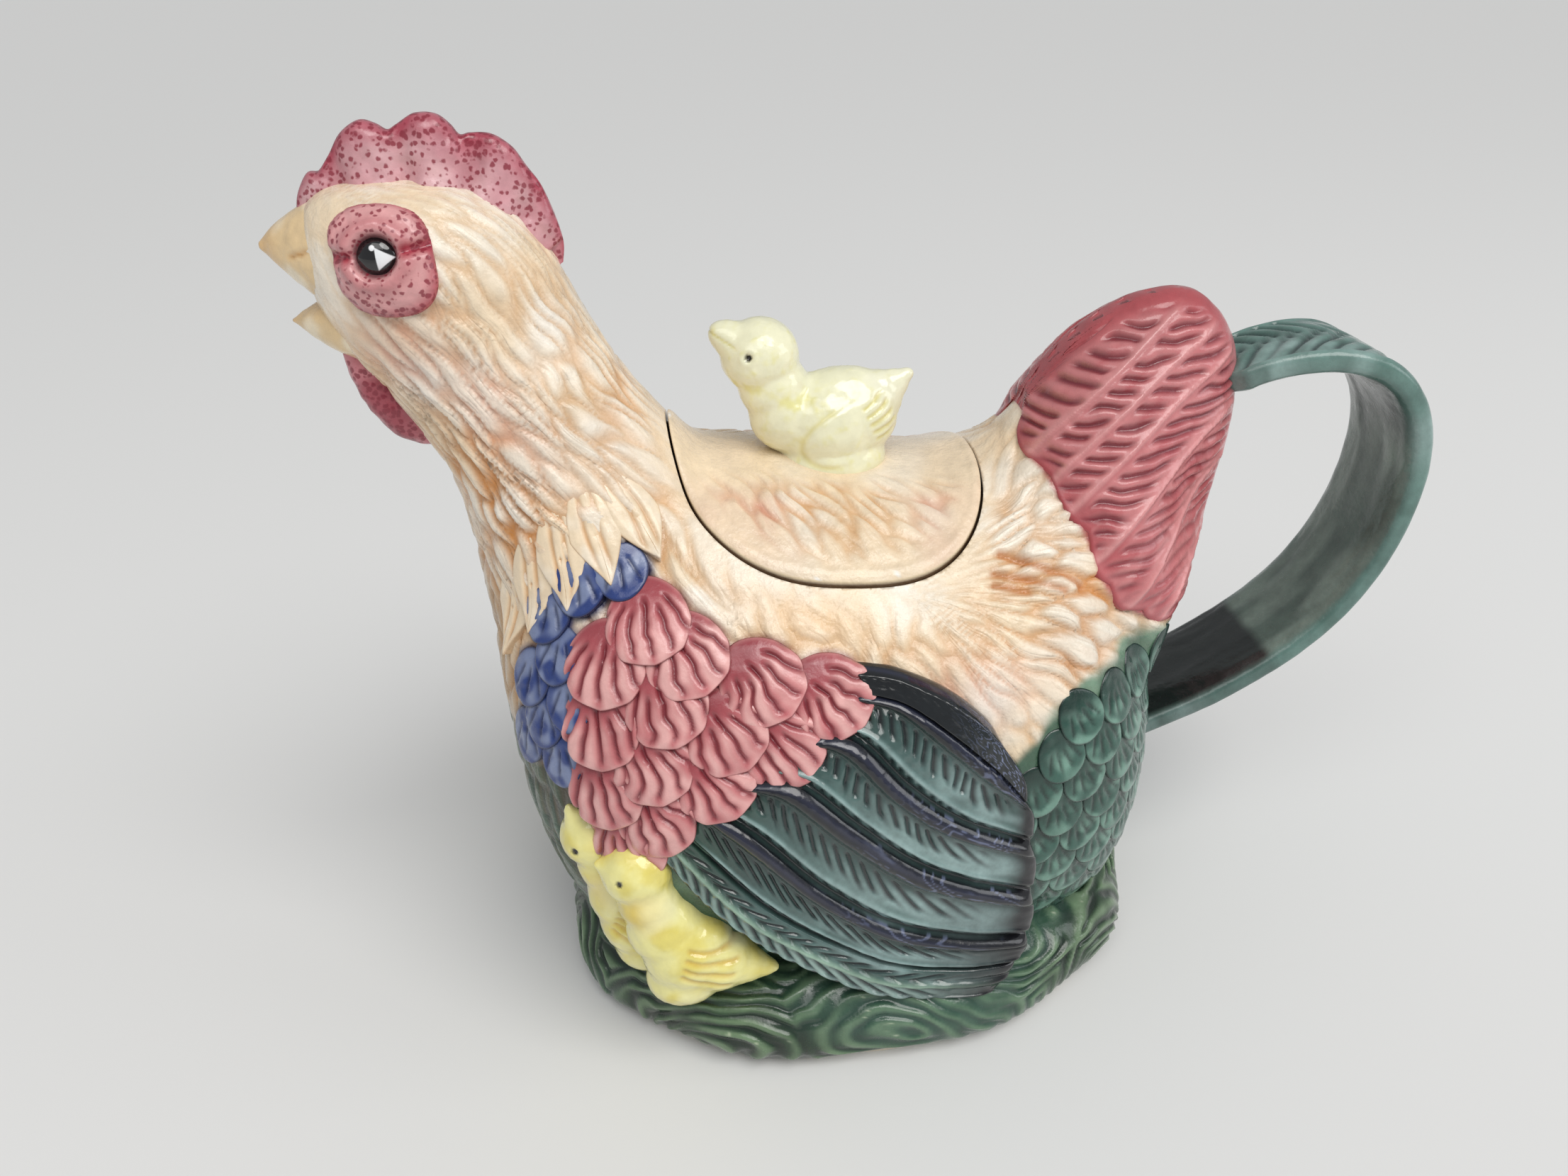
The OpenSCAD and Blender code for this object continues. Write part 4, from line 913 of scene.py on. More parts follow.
def mound():
    rows = [(.965, 0), (.995, .14), (1, .34), (.975, .60), (.91, .82), (.80, .95), (.66, 1), (.52, 1.0), (.40, 1.0)]
    prof, t = along_curve(rows, 110), turns(620)
    r, up = prof[:, :1], prof[:, 1:]
    lobe = r * np.where(r > 0.6, 1 + 0.012 * np.sin(9 * t + math.radians(140) * up), 1)
    x, y = MOUND_L * power(np.cos(t), 2 / 2.2) * lobe, MOUND_W * power(np.sin(t), 2 / 2.2) * lobe
    rings = np.stack([x, y, np.broadcast_to(MOUND_BASE + (MOUND_TOP - MOUND_BASE) * up, x.shape)], axis=-1)
    run = run_of(prof * [MOUND_W, MOUND_TOP - MOUND_BASE])
    a, b = np.tile(t * MOUND_RUN, len(prof)), np.repeat(run, len(t))
    # Curls of grass: ridges round the nearest of a few middles
    rng, total = np.random.default_rng(5), TURN * MOUND_RUN
    near = np.full(len(a), 1e9)
    for k in range(CURLS):
        da = (a - k * total / CURLS - rng.uniform(-9, 9) + total / 2) % total - total / 2
        db = b - (rng.uniform(-6, 10) if k % 2 else rng.uniform(26, 48))
        stretch, lean = rng.uniform(0.7, 2.2), rng.uniform(-1.6, 1.6)
        near = np.minimum(near, np.hypot(da / stretch, db * 1.15 + lean * da * 0.25))
    warp = 4.2 * noise2(a / 18, b / 13, 61) + 1.0 * noise2(a / 6, b / 6, 66)
    ridge = np.sin((near + warp) * TURN / 4.3) * (0.6 + 0.55 * noise2(a / 7, b / 7, 67))
    fine = np.sin((near + 1.4 * warp) * TURN / 2.1 + 1.0) * (0.5 + 0.5 * noise2(a / 9, b / 5, 68))
    side_fade = step(0.0, 3.0, b) * step(run[-1] - 4, run[-1] - 14, b)
    h = (0.85 * ridge + 0.35 * fine) * side_fade * (0.65 + 0.35 * noise2(a / 20, b / 14, 62))
    pts = rings.reshape(-1, 3)
    pts = pts - normals_of(pts, grid_faces(len(prof), len(t), wrap_v=True)) * (h - 0.5)[:, None]
    pts[:, 2] = np.maximum(pts[:, 2], MOUND_BASE)
    c = coats(
        len(a), (50, 74, 52), ((124, 150, 116), step(-0.1, 0.9, ridge + 0.35 * noise2(a / 8, b / 8, 63)) * 0.75),
        ((16, 34, 24), step(0.1, -0.7, ridge + 0.3 * fine) * 0.9), ((72, 108, 94), step(0.0, 0.8, noise2(a / 45 + 9, b / 30, 64)) * 0.45),
        # Pale flecks on the ridge tops are painted glints; the dark green along the lowest 3 mm is painted shade where
        # the mound meets the floor
        ((196, 206, 180), step(0.80, 0.9, noise2(a / 1.6, b / 1.6, 65)) * step(0.3, 0.7, ridge) * 0.6), ((24, 44, 30), step(3.0, 0.5, b) * 0.6))
    verts, faces = tube(pts.reshape(rings.shape), ([0, 0, MOUND_BASE], [0, 0, MOUND_TOP]))
    return verts, faces, np.r_[c, [rgb(120, 100, 80)], [rgb(40, 70, 44)]]


make("grass_mound", *mound(), GREEN_GLAZE, "grass_green", ["grass_mound"])

# ------------------------------------------------------------------ chicks
# Each from balls (centre, radii) that are melted together
KNOB = [
    ((-15.0, 0, 180.0), (10.3, 9.8, 9.9)), ((-12.0, 0, 171.5), (9.4, 9.3, 8.6)), ((-9.0, 0, 164), (10.2, 10.2, 10.5)),
    ((1.5, 0, 160.5), (14.4, 12.8, 13.4)), ((9, 0, 162), (11.5, 10.4, 11.6)), ((15, 0, 166), (7.0, 6.0, 7.2)), ((19.3, 0, 169), (4.4, 3.6, 4.0)),
    ((22.8, 0, 171.2), (2.4, 2.1, 2.0)), ((5, 0, 168.5), (13, 7.5, 6.4)), ((2, 0, 150.5), (15.0, 13.0, 9.0)),
    ((-20.6, 0, 184.2), (5.8, 5.6, 5.2)), ((-22.6, 0, 185.6), (4.7, 4.5, 4.4)), ((-24.0, 0, 186.6), (3.9, 3.7, 3.5))]
FRONT_CHICK = [
    ((-71.1, -49.6, 73.7), (8.8, 8.2, 9.0)), ((-74.1, -51.1, 80.7), (3.8, 3.2, 3.8)), ((-75.6, -51.8, 84.2), (2.0, 1.9, 2.4)),
    ((-68.6, -49.6, 64.2), (8.2, 8.0, 8.0)), ((-65.6, -49.6, 54.2), (9.8, 9.6, 12.0)), ((-62.6, -49.6, 44.2), (11.0, 10.0, 12.5)),
    ((-60.6, -48.6, 34.2), (10.5, 9.5, 9.0)), ((-55.6, -50.6, 51.2), (9, 8, 11))]
REAR_CHICK = [
    ((-60.5, -59.5, 68.5), (9.6, 8.8, 9.4)), ((-67.5, -60.0, 71.5), (3.4, 3.0, 2.8)), ((-70.0, -60.3, 72.6), (1.8, 1.7, 1.6)),
    ((-58.5, -60, 59), (8.8, 8.4, 8.0)), ((-55.5, -60.5, 50), (10.6, 9.8, 11.0)), ((-50, -61, 41.5), (13.0, 10.6, 12.5)),
    ((-43, -61.5, 37), (10.5, 9.0, 9.5)), ((-36, -63, 34.6), (6.6, 5.4, 5.4)), ((-31, -64, 33.6), (3.8, 3.2, 3.0)),
    ((-28, -64.4, 33.2), (2.0, 1.9, 1.7)), ((-52, -60, 31), (11, 9.5, 8))]


def melted(balls, voxel, rounds):
    v, f = remeshed(*joined([ball(*b) for b in balls]), voxel)
    v = smoothed(v, f, rounds)
    return v, f, normals_of(v, f)


def strokes(p, centre, way, count, gap, size, width, fan_deg):
    """Short grooves side by side in the side view: 1 in the middle of a groove."""
    out = np.zeros(len(p))
    way = np.asarray(way, float) / np.linalg.norm(way)
    for k in np.arange(count) - (count - 1) / 2:
        c, s = math.cos(math.radians(fan_deg) * k), math.sin(math.radians(fan_deg) * k)
        w = np.array([way[0] * c - way[1] * s, way[0] * s + way[1] * c])
        rel = p[:, [0, 2]] - centre - np.array([-way[1], way[0]]) * gap * k
        a = rel @ w
        out = np.maximum(out, bell(rel[:, 0] * w[1] - rel[:, 1] * w[0] + 0.015 * a * a, width) * step(size / 2, size / 2 - 1.5, np.abs(a)))
    return out


def knob():
    v, f, n = melted(KNOB, 0.55, 12)
    x, y, z = v.T
    side, eye_side = step(2.5, 5.0, np.abs(y)), np.abs(y) > 4
    wing_d = ((x - 6) / 12.5) ** 2 + ((z - 160.5 - 0.25 * (x - 6)) / 7.6) ** 2
    g = strokes(v, (14.5, 163.0), (1, 0.42), 5, 2.5, 8.5, 0.6, 5) * side * step(1.5, 1.1, wing_d)
    front_line = bell(np.sqrt(wing_d) - 1.02, 0.07) * step(6, 0, x) * side
    rough = noise(v * 0.55, 71) * 0.5 + noise(v * 1.1, 72) * 0.3
    eye_d = np.hypot(x + 18.6, z - 182.4)
    mouth = bell(z - 184.6 + 0.62 * (x + 22), 0.4) * step(-20.5, -22.5, x)
    neck = bell(z - 170.5 + 0.35 * (x + 10), 1.8) * step(4, -2, x)
    h = 0.5 * step(1.25, 0.65, wing_d) * side + 0.14 * rough - 0.55 * g - 0.3 * front_line - 0.35 * mouth - 0.15 * neck
    h = h + (0.25 * bell(eye_d - 1.8, 0.6) - 1.6 * bell(eye_d, 0.75)) * eye_side
    c = coats(
        len(v), (242, 240, 206), ((232, 226, 148), step(0.0, 1.0, rough + 0.7 * neck) * 0.8),
        ((226, 212, 108), unit(g + 0.7 * front_line + mouth) * 0.65), ((236, 232, 170), step(154, 148, z) * 0.4),
        ((250, 248, 226), step(0.3, 0.9, noise(v * 0.12, 73)) * 0.5), ((30, 22, 14), step(1.05, 0.7, eye_d) * eye_side))
    return v + n * h[:, None], f, c


def base_chick(balls, eye_at, stroke_at, beak_at, seed):
    v, f, n = melted(balls, 0.6, 30)
    rough = noise(v * 0.5, seed) * 0.5 + noise(v * 1.1, seed + 1) * 0.3
    eye_d, beak_d = (np.linalg.norm(v - at, axis=1) for at in (eye_at, beak_at))
    g = strokes(v, stroke_at, (1, -0.38), 4, 3.4, 16, 0.75, 6) * step(-50, -56, v[:, 1])
    h = 0.2 * rough - 0.7 * g - 1.0 * bell(eye_d, 0.9)
    c = coats(
        len(v), (242, 235, 158), ((226, 210, 100), step(-0.3, 0.6, noise(v * 0.16, seed + 3) + 0.35 * rough) * 0.8),
        ((206, 164, 56), g * 0.65), ((222, 176, 70), step(9.0, 2.0, beak_d) * 0.4),
        # Olive yellow below z 32 is painted shade where the chick sits in the mound
        ((246, 244, 196), step(0.2, 0.8, noise(v * 0.1, seed + 2)) * 0.6), ((186, 160, 50), step(32, 24, v[:, 2]) * 0.5),
        ((24, 20, 14), step(1.25, 0.85, eye_d)))
    return v + n * h[:, None], f, c


make("chick_knob", *knob(), CHICK_GLAZE, "knob_yellow", ["chick_knob"], body="lid")
front = base_chick(FRONT_CHICK, (-75.8, -56.2, 73.7), (-62, 47), (-68, -56, 61), 81)
make_pair("front_chick", *front, CHICK_GLAZE, "chick_yellow", ["front_chick"])
rear = base_chick(REAR_CHICK, (-65.2, -67.2, 70.6), (-45, 41), (-60, -67, 60), 91)
make_pair("rear_chick", *rear, CHICK_GLAZE, "chick_yellow", ["rear_chick"])


# ------------------------------------------------------------------ head trim
COMB_LOW = [(-118.5, 219), (-114, 223), (-107, 226), (-96, 226.5), (-86, 224.5), (-76, 220.5), (-68, 215), (-62, 207)]
COMB_HIGH = [
    (-119.5, 221), (-118, 228), (-114.8, 233), (-112.0, 233.4), (-109, 236.6), (-105.5, 241), (-101, 243.4), (-97.5, 242.4), (-95.2, 240.9),
    (-92.8, 241.9), (-88.5, 243.9), (-84, 243.4), (-81.0, 240.8), (-79.4, 238.6), (-77, 238.8), (-72.5, 238.2), (-68.2, 235),
    (-65.6, 230.6), (-62.5, 225), (-59.8, 214), (-60.5, 208)]
COMB_NOTCHES = np.array([0.22, 0.425, 0.615, 0.80])
# Highest point of the comb, and the eye's place in its patch
COMB_TOP, EYE_ALONG, EYE_UP = 243.85, -0.3, 0.4


def comb():
    n, m = 210, 120
    base, top = along_curve(COMB_LOW, n)[:, None], along_curve(COMB_HIGH, n)[:, None]
    uu, tt = np.meshgrid(np.linspace(0, 1, n), np.linspace(-1, 1, m), indexing="ij")
    f = np.cos(tt * math.pi / 2) ** 0.62
    notch = bell(np.abs(uu[..., None] - COMB_NOTCHES).min(-1), 0.035)
    half = (5.3 - 1.9 * notch) * np.sin(unit(uu * 1.04 + 0.02) * math.pi) ** 0.35 * (1.0 + 0.35 * step(0.5, 0.0, f))
    x, z = np.moveaxis(base + (top - base) * f[..., None], -1, 0)
    pts = np.stack([x, half * power(np.sin(tt * math.pi / 2), 0.75), z], axis=-1).reshape(-1, 3)
    pts[:, 1] += 0.35 * noise(pts * 0.35, 101) * np.sign(pts[:, 1])
    pts[:, 2] = np.minimum(pts[:, 2], COMB_TOP)
    red = (172, 72, 88)
    c = coats(
        len(pts), (208, 148, 156), ((226, 182, 186), step(0.2, 0.9, noise(pts * 0.16, 102) * 0.5 + 0.5)),
        (red, step(0.62, 1.0, f) * 0.8 + 0.4 * notch * f), (red, step(0.84, 0.96, uu) * 0.5))
    return pts, grid_faces(n, m), c, (0.30 + 0.5 * f + 0.2 * notch).ravel()


def eye_patch():
    place, out = flank(-98.2, 217.6)
    along = np.array([1.0, 0, 0.02])
    along -= out * np.dot(along, out)
    along /= np.linalg.norm(along)
    up = np.cross(along, out)
    up = up * np.sign(up[2])
    r, t = np.r_[np.linspace(0, 1, 74), 1.0, 1.0], turns(230)
    rr, tt = np.meshgrid(r, t, indexing="ij")
    pinch = 1 - 0.05 * bell(tt, 0.35) - 0.05 * bell(tt - TURN, 0.35) - 0.10 * bell(tt - math.pi, 0.30)
    a = rr * power(np.cos(tt), 0.78) * 12.6 * pinch
    b = rr * power(np.sin(tt), 0.78) * (13.9 + 0.5 * np.sin(tt)) * (1 + 0.04 * np.cos(tt))
    q, n = skin.near(place + a.ravel()[:, None] * along + b.ravel()[:, None] * up)
    # A dome with a socket for the eye and a crease to each side of it
    ea, eb = a - EYE_ALONG, b - EYE_UP
    rho = np.hypot(ea / 1.1, eb)
    crease = bell(eb - 0.012 * ea ** 2, 1.25) * step(3.8, 6.0, np.abs(ea))
    h = 0.4 + 3.3 * np.sqrt(unit(1 - rr ** 2.6)) - 2.2 * crease * np.sqrt(unit(1 - rr ** 6))
    h = h + 0.8 * bell(rho - 5.9, 1.4) - 2.6 * step(5.0, 3.2, rho) + 0.16 * noise2(a * 0.7, b * 0.7, 111)
    h[-1] = -1.2
    c = coats(
        a.size, (220, 160, 160), ((176, 66, 80), 0.85 * step(0.72, 1.0, rr) + 0.8 * crease + 0.35 * bell(rho - 6.3, 1.6)),
        ((90, 30, 40), step(4.5, 3.9, rho) * 0.8))
    spots = (0.50 + 0.35 * step(0.5, 1.0, rr) + 0.25 * crease).ravel()
    patch = q + n * h.ravel()[:, None], grid_faces(len(r), len(t), wrap_v=True), c
    return patch, spots, (place + EYE_ALONG * along + EYE_UP * up, along, up)


def eye(place, along, up):
    q, n = skin.near([place])
    r, t = np.r_[np.linspace(0, 1, 60), 1.0], turns(120)
    rr, tt = np.meshgrid(r, t, indexing="ij")
    a, b = (rr * np.cos(tt) * 4.9).ravel(), (rr * np.sin(tt) * 4.5).ravel()
    h = -0.2 + 3.1 * np.sqrt(unit(1 - rr ** 2.2))
    h[-1] = -1.5
    pts = q + a[:, None] * along + b[:, None] * up + h.ravel()[:, None] * n
    # A painted highlight: a white triangle and a dot
    slope = (4.3 - a) * 0.62
    triangle = np.min([a - 0.3, slope - (b + 0.5), slope + (b + 0.5)], axis=0)
    dot = 0.62 - np.hypot(a + 0.2, b - 1.9)
    painted_highlight = np.maximum(step(-0.10, 0.15, triangle), step(-0.1, 0.1, dot))
    return pts, grid_faces(len(r), len(t), wrap_v=True), coats(len(a), (12, 11, 14), ((236, 238, 240), painted_highlight))


def jaw(top, low, halves, lift, seed, upper):
    n, t = 70, turns(90)
    top, low = along_curve(top, n), along_curve(low, n)
    s = power(np.sin(t), 0.9 if upper else 0.85)
    x, z = ((top[:, [k]] + low[:, [k]]) / 2 + (top[:, [k]] - low[:, [k]]) / 2 * s for k in (0, 1))
    y = catmull(np.array(halves)[:, None], np.linspace(0, 1, n)) * np.cos(t) * (1 - 0.25 * lift * s)
    pts, faces = tube(np.stack([x, y, z], axis=-1))
    out, h, nostril = normals_of(pts, faces), 0.18 * noise(pts * 0.4, seed), np.zeros(len(pts))
    if upper:
        slit = np.abs((pts[:, 2] - 217.5) - 0.30 * (pts[:, 0] + 118))
        nostril = bell(slit, 0.55) * step(3.6, 1.6, np.abs(pts[:, 0] + 118.5)) * step(2.5, 4.0, np.abs(pts[:, 1]))
    pts = pts + out * (h - 0.8 * nostril)[:, None]
    c = coats(
        len(pts), (233, 204, 158), ((246, 230, 200), step(-0.2, 0.8, noise(pts * 0.2, seed + 1))),
        ((206, 152, 84), nostril * 0.8 + 0.35 * step(-122, -128, pts[:, 0])))
    return pts, faces, c


def wattle():
    rows = [(-112, 197, 3.4), (-111.4, 191.5, 4.4), (-109.8, 185.5, 5.3), (-106.8, 179.5, 6.2), (-103.2, 174.6, 6.3), (-99.4, 171.6, 5.2),
        (-96.4, 170.0, 3.6)]
    v, f, n = melted([((x, side * 3.1, z), (r, r * 0.82, r)) for x, z, r in along_curve(rows, 16) for side in (-1, 1)], 0.6, 6)
    v = v + n * (0.25 * noise(v * 0.4, 141))[:, None]
    return v, f, coats(len(v), (206, 126, 134), ((150, 44, 62), step(-0.4, 0.5, noise(v * 0.14, 142)) * 0.8))


*piece, spots = comb()
make("comb", *piece, SPOTTED, "comb_rose", ["comb"], spots)
piece, spots, eye_seat = eye_patch()
make_pair("eye_patch", *piece, SPOTTED, "comb_rose", ["eye_patch"], spots)
make_pair("eye", *eye(*eye_seat), EYE_GLAZE, "eye_black", ["eye"])
piece = jaw(
    [(-100, 226), (-108, 228.4), (-114.5, 228.0), (-119.5, 225.6), (-124.6, 222.6), (-129.2, 218.8)],
    [(-100, 205), (-108, 203.6), (-114, 203.8), (-119, 206.4), (-124.2, 211.8), (-129.0, 217.2)], [15.0, 15.6, 13.6, 9.8, 5.4, 0.8],
    0.35, 121, True)
make("beak_upper", *piece, GLAZE, "beak_cream", ["beak_upper"])
piece = jaw(
    [(-100, 206), (-107, 205.8), (-113, 205.4), (-118.5, 204.0), (-123.2, 202.0), (-126.0, 200.3)],
    [(-100, 189), (-107, 189.0), (-113.5, 190.6), (-118.8, 193.8), (-123.0, 197.2), (-125.8, 199.6)], [12.5, 13.0, 11.6, 8.8, 5.2, 0.8],
    -0.2, 131, False)
make("beak_lower", *piece, GLAZE, "beak_cream", ["beak_lower"])
make("wattle", *wattle(), SPOTTED, "comb_rose", ["wattle"], 0.9)

# ------------------------------------------------------------------ lid
# Half sizes of its oval, the angle that strokes lie at on it and on the flank, and the rings down its edge (share, fall)
# and along its underside (inset, height over the skin)
LID_L, LID_W, RAY = 39.5, 42.0, math.radians(58)
LID_EDGE = [(1.004, -0.3), (1.004, -1.2), (0.999, -3.0), (0.985, -3.3)]
LID_UNDER = [(2.5, -2.7), (4.95, -2.7), (5.0, -8.0), (5.6, -11.6), (7.6, -11.6), (8.2, -8.0), (8.4, -3.2), (12.0, -2.9), (26.0, -2.9)]


def lid_oval(m, more=0.0):
    t = turns(m)
    return np.c_[(LID_L + more) * power(np.cos(t), 2 / 2.7), (LID_W + more) * power(np.sin(t), 2 / 2.7)]


def skin_top(xy):
    """Height of the hen's back over places in the plan."""
    return np.array([skin.tree.ray_cast(Vector((x, y, 215 if x < -25 else 190)), Vector((0, 0, -1)))[0][2] for x, y in xy])


def lid():
    m, shares = 260, np.linspace(0.02, 1.0, 88)
    full = lid_oval(m, 0.2)
    xy, s = (full * shares[:, None, None]).reshape(-1, 2), np.repeat(shares, m)
    x, y, wide = *xy.T, np.abs(xy[:, 1])
    # Diagonal strokes on its sides
    c, k = math.cos(RAY), math.sin(RAY)
    a, b = x * k - 1.15 * wide * c, x * c + 1.15 * wide * k
    hill = locks(a / 4.4 + 0.8 * noise2(a / 14, b / 12, 151), b / 15 + 20, 152)
    zone = step(12, 22, wide + 5.0 * noise2(x / 7.0, y / 9.0, 156)) * step(1.0, 0.85, np.hypot(x / LID_L, y / LID_W))
    z = skin_top(xy) + 1.35 + 0.95 * (hill - 0.75) * zone + 0.25 * bell(s - 0.965, 0.02) - 0.45 * step(0.985, 1.0, s)
    rings = list(np.c_[xy, z].reshape(-1, m, 3))
    rings += [np.c_[full * grow, z[-m:] + fall] for grow, fall in LID_EDGE]
    for inset, height in LID_UNDER:
        oval = lid_oval(m, -inset)
        rings.append(np.c_[oval, skin_top(oval) + height])
    centre = skin_top([(0.0, 0.0)])[0]
    verts, faces = tube(np.array(rings), ([0, 0, centre + 0.8], [0, 0, centre - 2.9]))
    groove = (1 - hill) * zone
    ends = np.maximum(step(-8, -20, x) * step(14, 24, wide), step(14, 24, x) * step(14, 22, wide))
    mid = bell(x + 1, 13) * step(12, 20, wide) * step(40, 30, wide)
    patch = step(-0.1, 0.5, noise2(x / 6, y / 9, 154))
    chip = step(0.80, 0.88, noise2(x / 1.5, y / 1.5, 155)) * step(0.965, 0.985, s)
    paint = coats(
        len(x), CREAM, (CREAM_HI, step(-0.2, 0.8, noise2(x / 12, y / 12, 153)) * 0.6),
        (PINK, (0.18 + 0.75 * groove) * ends * (0.5 + 0.5 * patch)), ((214, 146, 60), (0.05 + 0.95 * groove) * mid * (0.5 + 0.5 * patch)),
        (TAN, groove * 0.35), ((214, 164, 96), step(17, 11, np.hypot(x - 2, y * 1.1)) * 0.35), ((246, 246, 242), chip * 0.9))
    # The lower rings of the lid's side wall are dark brown: unglazed clay, and painted shade in the gap round the lid
    plain, joint_and_shade = (226, 206, 172), (96, 72, 50)
    paint = np.r_[paint, coats(m, plain), coats(3 * m, joint_and_shade), coats(len(LID_UNDER) * m, plain), coats(2, CREAM)]
    flow, deep = np.zeros((len(verts), 3)), np.zeros((len(verts), 4))
    flow[:len(x), :2] = np.c_[a / 2.4 + 90, b / 11]
    deep[:len(x), :3] = coats(len(x), (218, 178, 130), ((208, 138, 62), mid * 1.3), ((208, 142, 130), ends))
    deep[:len(x), 3] = zone * (0.55 + 0.35 * patch)
    return verts, faces, paint, flow, deep


*piece, flow, deep = lid()
make("lid", *piece, FEATHERY, "cream_plumage", ["lid"], flow=flow, deep=deep, body="lid")

# ------------------------------------------------------------------ body: relief, paint, openings
# Deep strokes that fan out behind the lid
SCORES = [np.array(line, float) for line in (
    [(38.7, 36.3, 134.9), (43.1, 37.8, 133.6), (48.6, 39.6, 131.8), (54.6, 40.4, 129.2), (59.9, 40.2, 124.9)],
    [(36.1, 40.2, 131.8), (44.2, 41.4, 130.0), (53.8, 43.0, 126.3)], [(35.9, 42.5, 129.7), (44.0, 43.7, 127.5)])]


def tail_depth(p):
    """How far a place lies inside the tail's outline in the side view."""
    q, ring = p[:, [0, 2]], np.r_[TAIL_RIM, TAIL_PINK[::-1]]
    inside, gap = np.zeros(len(q), bool), np.full(len(q), 1e9)
    for a, b in zip(ring, np.roll(ring, -1, axis=0)):
        gap = np.minimum(gap, segment_gap(q, a, b))
        cross = (a[1] > q[:, 1]) != (b[1] > q[:, 1])
        inside ^= cross & (q[:, 0] < (b[0] - a[0]) * (q[:, 1] - a[1]) / (b[1] - a[1] + 1e-12) + a[0])
    return np.where(inside, gap, -gap)


def zone_near(p, places, reach):
    """1 within a reach of feathers, on either side."""
    side = np.c_[p[:, 0], -np.abs(p[:, 1]), p[:, 2]]
    gap = np.min([np.linalg.norm(side - flank(x, z)[0], axis=1) for x, z, _ in places], axis=0)
    return step(reach + 1.5, reach - 1.5, gap)


